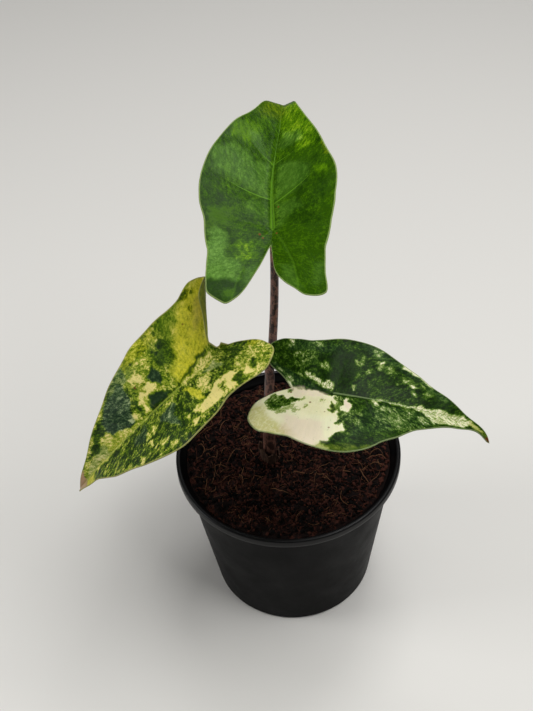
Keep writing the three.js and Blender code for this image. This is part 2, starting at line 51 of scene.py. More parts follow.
def linear(hexColour):
    # sRGB share v to linear: v / 12.92 up to 0.04045, and ((v + 0.055) / 1.055) ** 2.4 above it
    shares = [int(hexColour[i:i + 2], 16) / 255 for i in (1, 3, 5)]
    return tuple(v / 12.92 if v <= 0.04045 else ((v + 0.055) / 1.055) ** 2.4 for v in shares) + (1.0,)


def addNode(tree, kind, inputs=None, stops=None, **settings):
    # one node: its settings, the stops of a ramp, then its inputs, by name or as a tuple in the order of its
    # sockets, each a plain value or a link from another node
    node = tree.nodes.new("ShaderNode" + kind)
    for name, value in settings.items():
        setattr(node, name, value)
    if stops:
        elements = node.color_ramp.elements
        while len(elements) < len(stops):
            elements.new(0.5)
        for element, (place, tone) in zip(elements, stops):
            element.position = place
            element.color = linear(tone)
    for key, value in (enumerate(inputs) if isinstance(inputs, tuple) else (inputs or {}).items()):
        if isinstance(value, bpy.types.Node):
            value = value.outputs[2] if value.bl_idname == "ShaderNodeMix" else value.outputs[0]
        if isinstance(value, bpy.types.NodeSocket):
            tree.links.new(value, node.inputs[key])
        else:
            node.inputs[key].default_value = linear(value) if isinstance(value, str) else value
    return node


def newMaterial(name):
    # a node material with nothing in it yet
    material = bpy.data.materials.new(name)
    material.use_nodes = True
    material.node_tree.nodes.clear()
    return material, material.node_tree


def makePiece(name, points, faces, material, nodes=(), smooth=True, flat=None, fields=None):
    # a mesh object at the origin from points in mm and faces, with an own UV map and own attributes
    mesh = bpy.data.meshes.new(name)
    mesh.from_pydata((points * millimetre).tolist(), [], faces)
    if flat is not None:
        corners = np.zeros(len(mesh.loops), np.int32)
        mesh.loops.foreach_get("vertex_index", corners)
        layer = mesh.uv_layers.new(name="flat")
        layer.data.foreach_set("uv", flat[corners].astype(np.float32).ravel())
    for label, values in (fields or {}).items():
        kind = "FLOAT_VECTOR" if values.ndim == 2 else "FLOAT"
        attribute = mesh.attributes.new(label, kind, "POINT")
        attribute.data.foreach_set("vector" if values.ndim == 2 else "value", values.astype(np.float32).ravel())
    mesh.polygons.foreach_set("use_smooth", [smooth] * len(mesh.polygons))
    mesh.update()
    mesh.validate()
    piece = bpy.data.objects.new(name, mesh)
    scene.collection.objects.link(piece)
    mesh.materials.append(material)
    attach(piece, "root")
    if nodes:
        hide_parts(*nodes)
    return piece


def gridFaces(rows, columns, start=0):
    # quads between neighbouring rows of a grid whose last column joins the first
    row, column = np.meshgrid(np.arange(rows - 1), np.arange(columns), indexing="ij")
    onward = (column + 1) % columns
    quads = [row * columns + column, row * columns + onward,
             (row + 1) * columns + onward, (row + 1) * columns + column]
    return (np.stack(quads, -1).reshape(-1, 4) + start).tolist()


def fanFaces(centre, ring, columns, outward=True):
    # triangles from a pole to a ring of points that starts at the index ring
    first = ring + np.arange(columns)
    second = ring + (np.arange(columns) + 1) % columns
    middle = np.full(columns, centre)
    order = [middle, first, second] if outward else [middle, second, first]
    return np.stack(order, -1).tolist()


def closeTube(rows, poles=None):
    # points and faces of a tube with a pole at each end, in the middle of its end row if none is given
    count, columns = rows.shape[:2]
    if poles is None:
        poles = np.vstack([rows[:1].mean(1), rows[-1:].mean(1)])
    faces = gridFaces(count, columns)
    faces += fanFaces(count * columns, 0, columns, outward=False)
    faces += fanFaces(count * columns + 1, (count - 1) * columns, columns)
    return np.vstack([rows.reshape(-1, 3), poles]), faces


def circle(count):
    # equal steps once round, in radians
    return 2 * np.pi * np.arange(count) / count


def polar(centre, radius, angle, height):
    # points round an upright axis: (x + r cos a, y + r sin a, height)
    x, y = centre[0] + radius * np.cos(angle), centre[1] + radius * np.sin(angle)
    return np.stack([x, y, height + 0 * x], -1)


def between(low, high, share):
    # low + (high - low) * share
    return low + (high - low) * share


def smoothStep(value, low, high):
    # 0 below low, 1 above high and 3 x^2 - 2 x^3 between
    x = np.clip((value - low) / (high - low), 0, 1)
    return x * x * (3 - 2 * x)


def unit(vectors):
    # each vector over its length
    return vectors / np.linalg.norm(vectors, axis=-1, keepdims=True)


def lattice(x, y, size, seed):
    # value noise from -1 to 1: seeded heights on a square lattice of that size, smoothly blended
    heights = np.random.default_rng(seed).uniform(-1, 1, (64, 64))
    u, v = x / size + 31.7, y / size + 17.3
    i, j = np.floor(u).astype(int), np.floor(v).astype(int)
    a, b = u - i, v - j
    a, b = a * a * (3 - 2 * a), b * b * (3 - 2 * b)
    low = heights[i % 64, j % 64] * (1 - a) + heights[(i + 1) % 64, j % 64] * a
    high = heights[i % 64, (j + 1) % 64] * (1 - a) + heights[(i + 1) % 64, (j + 1) % 64] * a
    return low * (1 - b) + high * b


def placeMatrix(right, up, back, place):
    # an object's matrix from its own X, Y and Z directions and its place
    return Matrix(np.vstack([np.column_stack([right, up, back, place]), [0, 0, 0, 1]]).tolist())


def bezier(points, t):
    # cubic curve through its ends: (1-t)^3 P0 + 3(1-t)^2 t P1 + 3(1-t) t^2 P2 + t^3 P3
    t = t[:, None]
    p0, p1, p2, p3 = np.array(points, float)
    return (1 - t) ** 3 * p0 + 3 * (1 - t) ** 2 * t * p1 + 3 * (1 - t) * t * t * p2 + t ** 3 * p3


def bezierSlope(points, t):
    # the same curve's direction: the sum of its edges weighted by (1-t)^2, 2t(1-t) and t^2
    t = t[:, None]
    p0, p1, p2, p3 = np.array(points, float)
    return unit((1 - t) ** 2 * (p1 - p0) + 2 * t * (1 - t) * (p2 - p1) + t * t * (p3 - p2))


# Pot: thin black polypropylene, injection moulded, with a broad rolled rim

pot = {
    "height": 94, "rimRadius": 60, "rimBand": 2.4, "rimSkirt": 4.6, "skirtWall": 0.9,
    "wallTop": 56.2, "wallBase": 44.5, "wall": 1.3, "base": 1.6, "ledge": 1.2,
    "baseBend": 1.2, "rimBend": 1.1, "lipBend": 0.6, "edge": 0.25,
    "columns": 192, "innerRing": 8, "holes": 8, "holeRadius": 3.2, "holeRing": 34, "holeSides": 24,
    "drill": (-2.0, 4.0), "sharp": 50,
    "colour": "#030304", "dust": "#0b0b0b", "roughness": 0.42,
}


def potProfile():
    # radius and height from the middle of the underside, out, up the wall, over the rim and down inside; rounded
    # corners are quarter circles, and the small numbers are steps of a mm or two between them
    rim, height, edge = pot["rimRadius"], pot["height"], pot["edge"]
    bend, rimBend, lipBend = pot["baseBend"], pot["rimBend"], pot["lipBend"]
    foot = height - pot["rimSkirt"]
    ledge = foot + pot["ledge"]
    inner = rim - pot["rimBand"]
    skirt = rim - pot["skirtWall"]
    slope = pot["wallTop"] - pot["wallBase"]
    within = pot["wallTop"] - pot["wall"]
    turn = np.linspace(0, np.pi / 2, 6)
    corner = [(pot["wallBase"] - bend + bend * math.sin(a), bend - bend * math.cos(a)) for a in turn]
    wall = [(pot["wallBase"] + slope * v, bend + (ledge - 2.8) * v) for v in np.linspace(0.04, 1, 14)]
    under = [(inner + 1.2, ledge), (skirt - edge, ledge), (skirt, ledge - edge), (skirt, foot + 0.2)]
    lip = [(skirt + edge, foot), (rim - edge, foot), (rim, foot + edge)]
    side = [(rim, foot + 1.6), (rim, height - rimBend)]
    crown = [(rim - rimBend + rimBend * math.cos(a), height - rimBend + rimBend * math.sin(a)) for a in turn[1:]]
    inside = [(inner + lipBend - lipBend * math.sin(a), height - 0.75 + lipBend * math.cos(a)) for a in turn]
    down = [(inner, height - 1.6), (within + 0.4, ledge - 0.4)]
    wallIn = [(within - slope * v, ledge - 1.2 + (3.8 - ledge) * v) for v in np.linspace(0, 1, 8)]
    floor = [(pot["wallBase"] - pot["wall"] - 1, pot["base"]), (pot["innerRing"], pot["base"])]
    outside = [(pot["innerRing"], 0)] + corner + wall + under + lip + side
    return np.array(outside + crown + inside + down + wallIn + floor)


def potMaterial():
    # Polypropylene with a fine moulded grain: a dull black with a soft, wide highlight, a little dust, and a
    # clearer shine round the rim, where hands have rubbed it smooth
    material, tree = newMaterial("mouldedPolypropyleneBlack")
    place = addNode(tree, "TexCoord").outputs["Object"]
    dust = addNode(tree, "TexNoise", {"Vector": place, "Scale": 55, "Detail": 5, "Roughness": 0.62})
    grain = addNode(tree, "TexNoise", {"Vector": place, "Scale": 1800, "Detail": 2})  # 0.5 mm grain
    rings = addNode(tree, "TexWave", {"Vector": place, "Scale": 260, "Distortion": 0.5},
                    wave_type="BANDS", bands_direction="Z")  # drawing marks about 1.2 mm apart
    dusty = addNode(tree, "MapRange", (dust, 0.42, 0.75, 0.0, 0.8))
    colour = addNode(tree, "Mix", {0: dusty, 6: pot["colour"], 7: pot["dust"]}, data_type="RGBA")
    gloss = addNode(tree, "MapRange", (dust, 0.3, 0.7, pot["roughness"], pot["roughness"] + 0.16))
    high = addNode(tree, "SeparateXYZ", (place,)).outputs["Z"]
    rubbed = addNode(tree, "MapRange", (high, 0.0885, 0.0895, 0.0, 0.3))  # metres
    height = addNode(tree, "Math", (rings, 0.15, grain), operation="MULTIPLY_ADD")
    bump = addNode(tree, "Bump", {"Height": height, "Strength": 0.16, "Distance": 0.0002})
    shader = addNode(tree, "BsdfPrincipled", {
        "Base Color": colour, "Roughness": gloss, "Normal": bump, "Specular IOR Level": 0.06,
        "Coat Weight": rubbed, "Coat Roughness": 0.28})
    addNode(tree, "OutputMaterial", {"Surface": shader})
    return material


def drainDrills():
    # upright cylinders on a ring: (R cos a + r cos b, R sin a + r sin b), from under the base to above it
    sides = pot["holeSides"]
    points, faces = [], []
    for i, centre in enumerate(polar((0, 0), pot["holeRing"], circle(pot["holes"]), 0)):
        start = 2 * sides * i
        points += [polar(centre, pot["holeRadius"], circle(sides), level) for level in pot["drill"]]
        faces += gridFaces(2, sides, start)
        faces += [list(range(start + sides - 1, start - 1, -1)), list(range(start + sides, start + 2 * sides))]
    mesh = bpy.data.meshes.new("drills")
    mesh.from_pydata((np.vstack(points) * millimetre).tolist(), [], faces)
    drills = bpy.data.objects.new("drills", mesh)
    scene.collection.objects.link(drills)
    return drills


def makePot():
    # the profile turned about Z: (r cos a, r sin a, z), with the base's holes cut by the drills
    profile = potProfile()
    shell = polar((0, 0), profile[:, :1], circle(pot["columns"]), profile[:, 1:])
    points, faces = closeTube(shell, [[0, 0, 0], [0, 0, pot["base"]]])
    piece = makePiece("potShell", points, faces, potMaterial(), ["pot"])
    drills = drainDrills()
    cut = piece.modifiers.new("drainHoles", "BOOLEAN")
    cut.operation = "DIFFERENCE"
    cut.object = drills
    bpy.context.view_layer.update()
    cutMesh = bpy.data.meshes.new_from_object(piece.evaluated_get(bpy.context.evaluated_depsgraph_get()))
    piece.modifiers.clear()
    piece.data = cutMesh
    bpy.data.objects.remove(drills)
    piece.data.set_sharp_from_angle(angle=math.radians(pot["sharp"]))


makePot()
print("pot made")


# Coir: shredded coconut husk, a dark crumbly bed with curly fibres

coir = {
    "level": 90, "radius": 54.6, "rings": 150, "columns": 360, "crumbs": 5200, "heap": 420, "fibres": 560,
    "plant": np.array([-9.8, -3.0, 90.0]), "hole": 5.2, "holeBottom": 70.0,
    "bottom": 3.0, "bottomRadius": 43.0, "sideSlope": 11.4, "sideHeight": 84.0,
    "lumps": [(6, 0.6, 3), (2.6, 0.55, 4), (1.3, 0.35, 5), (0.7, 0.2, 6)],  # size, height and seed
    "sideRows": 8, "crumbArea": (53.2, 5.6), "fibreArea": (50.5, 7.5),  # reach, and distance kept from the plant
    "crumbSize": (0.5, 1.45), "heapRing": (4.6, 9.1), "heapRise": 0.7, "heapEdge": 9.5,
    "fibreLength": (3, 13), "fibreRadius": (0.13, 0.3), "fibreBend": 1.3, "fibreReach": 53.6, "fibreSteps": 11,
    "dark": "#040302", "brown": "#140907", "red": "#3c1f17", "tan": "#64452f",
}


def coirHeight(x, y):
    # crossing ripples of unequal length, a little lower against the wall, as in the CAD solid
    ripples = (np.sin(0.41 * x + 0.9 * np.sin(0.23 * y)) * np.cos(0.37 * y + 0.7 * np.sin(0.31 * x))
               + 0.6 * np.sin(0.83 * x - 0.57 * y + 1.3) * np.cos(0.49 * x + 0.91 * y))
    edge = np.clip((np.hypot(x, y) - 44) / 12, 0, 1)
    return coir["level"] + 0.78 * ripples - 1.4 * edge ** 2


def coirSurface(x, y):
    # the same with the lumps added: height + sum of tall * noise(x, y) at each lump's size
    height = coirHeight(x, y)
    for size, tall, seed in coir["lumps"]:
        height = height + tall * lattice(x, y, size, seed)
    return height


def coirMaterial(name, dark, middle, light):
    # Washed coir: dull, nearly black where it is damp, red-brown where it is dry
    material, tree = newMaterial(name)
    place = addNode(tree, "TexCoord").outputs["Object"]
    tone = addNode(tree, "Attribute", attribute_name="tone").outputs["Fac"]
    lump = addNode(tree, "TexNoise", {"Vector": place, "Scale": 260, "Detail": 6, "Roughness": 0.7})
    grain = addNode(tree, "TexNoise", {"Vector": place, "Scale": 1500, "Detail": 3})
    share = addNode(tree, "Math", (lump, 0.9, tone), operation="MULTIPLY_ADD")
    colour = addNode(tree, "ValToRGB", (share,), stops=[(0.35, dark), (0.75, middle), (5 / 6, light)])
    bump = addNode(tree, "Bump", {"Height": grain, "Strength": 0.6, "Distance": 0.0004})
    shader = addNode(tree, "BsdfPrincipled", {
        "Base Color": colour, "Roughness": 0.86, "Normal": bump, "Specular IOR Level": 0.12})
    addNode(tree, "OutputMaterial", {"Surface": shader})
    return material


def makeCoir():
    # rings from the wall inward to the plant, then down as the hole round the corm
    turn = circle(coir["columns"])
    share = np.linspace(0, 1, coir["rings"])[:, None]
    radius = between(coir["radius"], coir["hole"], share)
    top = polar((coir["plant"][0] * share, coir["plant"][1] * share), radius, turn, 0)
    top[..., 2] = coirSurface(top[..., 0], top[..., 1])
    wallShare = np.linspace(1, 0, coir["sideRows"])[:, None]
    wallRadius = coir["bottomRadius"] + coir["sideSlope"] * wallShare
    level = coir["bottom"] + coir["sideHeight"] * wallShare
    side = polar((0, 0), wallRadius, turn, level)[::-1]
    hole = polar(coir["plant"], coir["hole"], turn, coir["holeBottom"])[None]
    poles = [[0, 0, coir["bottom"]], [*coir["plant"][:2], coir["holeBottom"]]]
    points, faces = closeTube(np.concatenate([side, top, hole]), poles)
    tone = 0.25 + 0.12 * lattice(points[:, 0], points[:, 1], 9, 8)  # damper and drier places 9 mm across
    bed = coirMaterial("coirDamp", coir["dark"], coir["brown"], coir["red"])
    makePiece("coirBed", points, faces, bed, ["coir"], fields={"tone": tone})


def scatter(count, reach, keepAway):
    # places spread evenly over a disc, kept off the plant: radius reach sqrt(u), angle at random
    radius = reach * np.sqrt(random.uniform(0, 1, count))
    angle = random.uniform(0, 2 * np.pi, count)
    x, y = radius * np.cos(angle), radius * np.sin(angle)
    free = np.hypot(x - coir["plant"][0], y - coir["plant"][1]) > keepAway
    return x[free], y[free]


def makeCrumbs():
    # one twenty-sided lump: stretched three ways, turned by a random quaternion (w, i, j, k) and set into the bed;
    # some are heaped round the plant, higher the nearer they are
    golden = (1 + 5 ** 0.5) / 2
    lump = unit(np.array([(-1, golden, 0), (1, golden, 0), (-1, -golden, 0), (1, -golden, 0), (0, -1, golden),
                          (0, 1, golden), (0, -1, -golden), (0, 1, -golden), (golden, 0, -1), (golden, 0, 1),
                          (-golden, 0, -1), (-golden, 0, 1)], float))
    lumpFaces = np.array([(0, 11, 5), (0, 5, 1), (0, 1, 7), (0, 7, 10), (0, 10, 11), (1, 5, 9), (5, 11, 4),
                          (11, 10, 2), (10, 7, 6), (7, 1, 8), (3, 9, 4), (3, 4, 2), (3, 2, 6), (3, 6, 8),
                          (3, 8, 9), (4, 9, 5), (2, 4, 11), (6, 2, 10), (8, 6, 7), (9, 8, 1)])
    x, y = scatter(coir["crumbs"], *coir["crumbArea"])
    around = random.uniform(0, 2 * np.pi, coir["heap"])
    off = between(*coir["heapRing"], random.uniform(0, 1, coir["heap"]) ** 1.5)
    x = np.concatenate([x, coir["plant"][0] + off * np.cos(around)])
    y = np.concatenate([y, coir["plant"][1] + off * np.sin(around)])
    rise = random.uniform(0, coir["heapRise"], coir["heap"]) * (coir["heapEdge"] - off)
    heaped = np.concatenate([np.zeros(len(x) - coir["heap"]), rise])
    count = len(x)
    size = between(*coir["crumbSize"], random.uniform(0, 1, count) ** 1.6)
    stretch = size[:, None] * random.uniform([0.6, 0.5, 0.35], [1.5, 1.0, 0.8], (count, 3))
    quaternion = unit(random.normal(size=(count, 4)))
    w, i, j, k = quaternion.T
    turn = np.stack([1 - 2 * (j * j + k * k), 2 * (i * j - k * w), 2 * (i * k + j * w),
                     2 * (i * j + k * w), 1 - 2 * (i * i + k * k), 2 * (j * k - i * w),
                     2 * (i * k - j * w), 2 * (j * k + i * w), 1 - 2 * (i * i + j * j)], -1).reshape(-1, 3, 3)
    rough = 1 + 0.28 * random.uniform(-1, 1, (count, 12, 1))
    shapes = np.einsum("nab,nvb->nva", turn, lump * rough * stretch[:, None])
    place = np.stack([x, y, coirSurface(x, y) + 0.35 * size + heaped], -1)
    points = (shapes + place[:, None]).reshape(-1, 3)
    faces = (lumpFaces[None] + 12 * np.arange(count)[:, None, None]).reshape(-1, 3).tolist()
    tone = np.repeat(random.uniform(-0.35, 0.75, count), 12)
    crumb = coirMaterial("coirCrumb", coir["dark"], coir["brown"], coir["red"])
    makePiece("coirCrumbs", points, faces, crumb, smooth=False, fields={"tone": tone})


def makeFibres():
    # each fibre is a thin three-sided tube on an arc: heading + bend u, humped by 4 u (1 - u) over the bed
    x, y = scatter(coir["fibres"], *coir["fibreArea"])
    count, steps, sides = len(x), coir["fibreSteps"], 3
    u = np.linspace(0, 1, steps)
    length = random.uniform(*coir["fibreLength"], (count, 1))
    heading = random.uniform(0, 2 * np.pi, (count, 1))
    bend = random.normal(0, coir["fibreBend"], (count, 1)) + 1e-3
    wave = random.uniform(-0.5, 0.5, (count, 1))
    angle = heading + bend * (u - 0.5) + wave * np.sin(2 * np.pi * u)
    stepLength = length / (steps - 1)
    px = x[:, None] + np.cumsum(np.cos(angle), 1) * stepLength - length / 2 * np.cos(heading)
    py = y[:, None] + np.cumsum(np.sin(angle), 1) * stepLength - length / 2 * np.sin(heading)
    within = np.minimum(1, coir["fibreReach"] / np.hypot(px, py))  # none reaches into the wall
    px, py = px * within, py * within
    lift = random.uniform(0.1, 1.5, (count, 1)) ** 1.5
    pz = coirSurface(px, py) + 0.25 + lift * 4 * u * (1 - u)
    path = np.stack([px, py, pz], -1)
    along = unit(np.gradient(path, axis=1))
    over = unit(np.cross(along, np.cross([0, 0, 1.0], along)))
    across = np.cross(along, over)
    taper = 0.35 + 0.65 * np.sin(np.pi * np.clip(u, 0.03, 0.97)) ** 0.5
    thick = random.uniform(*coir["fibreRadius"], (count, 1)) * taper
    turn = circle(sides)
    tube = (path[:, :, None] + thick[:, :, None, None] * (np.cos(turn)[:, None] * across[:, :, None]
                                                         + np.sin(turn)[:, None] * over[:, :, None]))
    points = tube.reshape(-1, 3)
    quads = np.array(gridFaces(steps, sides))
    faces = (quads[None] + steps * sides * np.arange(count)[:, None, None]).reshape(-1, 4).tolist()
    ends = steps * sides * np.arange(count)
    faces += np.stack([ends + 2, ends + 1, ends], -1).tolist()
    last = ends + (steps - 1) * sides
    faces += np.stack([last, last + 1, last + 2], -1).tolist()
    tone = np.repeat(0.2 + 0.7 * random.uniform(0, 1, count) ** 2.5, steps * sides)
    fibre = coirMaterial("coirFibre", coir["brown"], coir["red"], coir["tan"])
    makePiece("coirFibres", points, faces, fibre, fields={"tone": tone})


makeCoir()
makeCrumbs()
makeFibres()
print("coir made")


# Leaves. s runs along the midrib from where the petiole joins, + to the tip, and t to the leaf's left, in mm.
# Turns and folds are in degrees and bends in degrees for each 10 mm. The margin is its distance from the join at
# the angles below, left side first, and a rib's course is t against how far it has run back.
# A side vein is s = s0 + a w + b w^2 with w = |t|.
# Variegation is a level from 0, full green, to 1, no green at all, with speckles as strong as its second number.
# A patch gives the inside of its polygon in (s, t) such a level, and a tint moves the tone there to another family
# of colours. The number before a polygon is the width in mm over which it fades in; a tint's strength comes first.
# The yellow and pink tints are the leaf's own colour; the grey tints are painted sheen, pale grey-green laid into the
# colour where the glossy leaf reflects a lamp, on top of the gloss that the shader gives.

marginAngles = [0, 3, 6, 10, 20, 32, 48, 70, 95, 118, 131, 138, 146, 156, 161, 167, 175, 180]
tissues = {
    "solidDark": (0.08, 0.12), "dark": (0.17, 0.34), "darkFlecked": (0.25, 0.66), "greyStreaked": (0.26, 0.6),
    "smoothGreen": (0.29, 0.16), "deepGreen": (0.33, 0.24), "middle": (0.38, 0.16), "mottled": (0.43, 0.70),
    "lime": (0.50, 0.24), "limeMottled": (0.57, 0.46), "lightMottled": (0.62, 0.56), "paleGreen": (0.72, 0.32),
    "light": (0.78, 0.24), "yellowMottled": (0.80, 0.26), "creamFlecked": (0.84, 0.50), "cream": (1.02, 0.24),
}
frontVeins = [(1, 0, 0.004), (14, 0.3, 0.01), (29, 0.6, 0.014), (45, 0.9, 0.02), (60, 1.2, 0.02)]

leafTop = {
    "join": [-1.4, -12.2, 256.1], "heading": 83.5, "pitch": 12.9, "roll": -2.8,
    "arch": 0.5, "tipDroop": 34, "droopStart": 61.5, "tipTurn": 0, "lobeArch": -0.2, "sideBend": 0.2,
    "spineBow": 1.6, "fold": (18, 19.3), "foldTip": 4.7, "lobeTurn": (-9, -9), "curl": (1.5, 3.3),
    "margin": ([91.5, 83, 76.7, 69.7, 61.5, 51.7, 42, 34, 29.4, 30.6, 35.3, 39.4, 43.8, 44, 38.4, 21.1, 9.6, 8.6],
               [91.5, 82, 71.7, 65, 54.7, 46.3, 39.9, 30.6, 26.3, 27.4, 31.5, 35.8, 43.3, 39.4,
                34.1, 29.3, 20.8, 8.6]),
    "rib": ([(0, 0), (4, 3), (10, 7), (19, 10.5), (29, 13.5), (45, 16)],
            [(0, 0), (4, 2.4), (10, 6), (19, 10), (29, 12.5), (45, 14)]),
    "laterals": ([(-29, -0.5, 0), (-18, -0.35, 0), (-8, -0.2, 0), (1, -0.02, 0.004), (15.8, 0.12, 0.012),
                  (36, 0.75, 0.02), (55, 1.2, 0.02), (73, 1.5, 0.02)],
                 [(-29, -0.5, 0), (-18, -0.35, 0), (-8, -0.2, 0), (1, -0.02, 0.004), (13, 0.45, 0.012),
                  (36.5, 0.4, 0.014), (55, 0.9, 0.02), (73, 1.3, 0.02)]),
    "tissue": (0.26, 0.36),
    "tones": ["#1c3802", "#284802", "#395d02", "#4d7405", "#6f900f", "#9aa834"],
    "yellowTones": ["#5a7608", "#8a9410", "#b0ae3a"], "paintedSheenTones": ["#4c7623", "#6d963f", "#93b566"],
    "vein": "#5c8a1e", "marginLine": "#8a9c5c", "pink": "#8a7a35", "midWidth": 1.35, "midEnd": 48,
    "veinStrength": 0.7, "groove": 0.5, "lateralRelief": 0.5, "shine": 0.07, "contrast": 1.0, "stripes": 0.11,
    "patches": [
        ("smoothGreen", 6, [(-46, -4), (20, -4), (46, -10), (30, -34), (-46, -34)]),
        ("dark", 5, [(14, 20), (28, 30), (10, 36), (-2, 30), (4, 22)]),
        ("dark", 5, [(12, -9), (34, -13), (36, -22), (20, -27), (-4, -20), (0, -8)]),
        ("limeMottled", 2, [(41, -11), (50, -10), (58, -13), (54, -18), (46, -20), (42, -17)]),
        ("limeMottled", 3, [(52, -1.5), (62, -0.5), (75, -0.5), (74, -8), (66, -12), (56, -12), (52, -7)]),
        ("lime", 1.5, [(60, -0.8), (66, -0.8), (66, -3), (61, -3)]),
        ("lime", 1.5, [(25, -22), (29, -21), (29, -25), (25, -26)]),
        ("lime", 3, [(46, 12), (58, 8), (60, 20), (50, 22)]),
        ("limeMottled", 4, [(-18, 7), (-10, 9), (-9, 14), (-18, 14)]),
        ("middle", 3, [(-2, 18), (8, 18), (8, 28), (-2, 28)]),
        ("solidDark", 1.2, [(-28.5, 11), (-28.5, 30), (-46, 30), (-46, 11)]),
        ("middle", 1.5, [(-39, 14), (-33, 14), (-33, 18), (-38, 18)]),
    ],
    # the grey tints are painted sheen: pale grey-green where the glossy leaf reflects a lamp
    "tints": [
        ("yellow", 0.4, 6, [(64, 0), (76, -2), (92, -2), (92, 8), (78, 10), (66, 9)]),
        ("yellow", 0.5, 1.5, [(36, -23.5), (42, -22.5), (46, -24), (44, -28), (35, -28)]),
        ("grey", 0.42, 4.3, [(16.5, 2), (35, 2), (37, 8), (42, 14), (45, 19), (40, 28), (30, 28), (28, 24),
            (22, 12)]),
        ("grey", 0.39, 2.9, [(38, 2.5), (44, 5.5), (50, 8), (53, 11), (53, 13.5), (47, 10.5), (41, 6)]),
        ("grey", 0.27, 4, [(3, 2.5), (13.5, 2), (14.5, 10), (11, 13), (6, 10)]),
        ("grey", 0.8, 3.6, [(-29, 13), (-18, 14), (-17, 19), (-6, 20), (-2, 25), (-6, 27), (-29, 27)]),
        ("grey", 0.39, 2.9, [(-30, 8), (-20, 6), (-21, 10), (-29, 12)]),
        ("grey", 0.27, 5.4, [(-1, -2), (14, -2), (13, -12), (8, -13), (4, -6)]),
        ("grey", 0.34, 5.4, [(15, -2), (36, -2), (34, -12), (30, -18), (22, -15), (18, -9)]),
        ("grey", 0.31, 4.3, [(45, -2), (54, -2), (53, -11), (47, -12)]),
        ("grey", 0.24, 3.6, [(-34, -8), (-20, -4), (-22, -9), (-33, -15)]),
        ("grey", 0.19, 3.6, [(-32, -20), (-22, -20), (-22, -24), (-32, -24)]),
    ],
    "specks": [(-4.3, 5.5, 0.6), (-5.8, 4, 0.5), (-3, -2, 0.5), (11, -3, 0.5)],
}

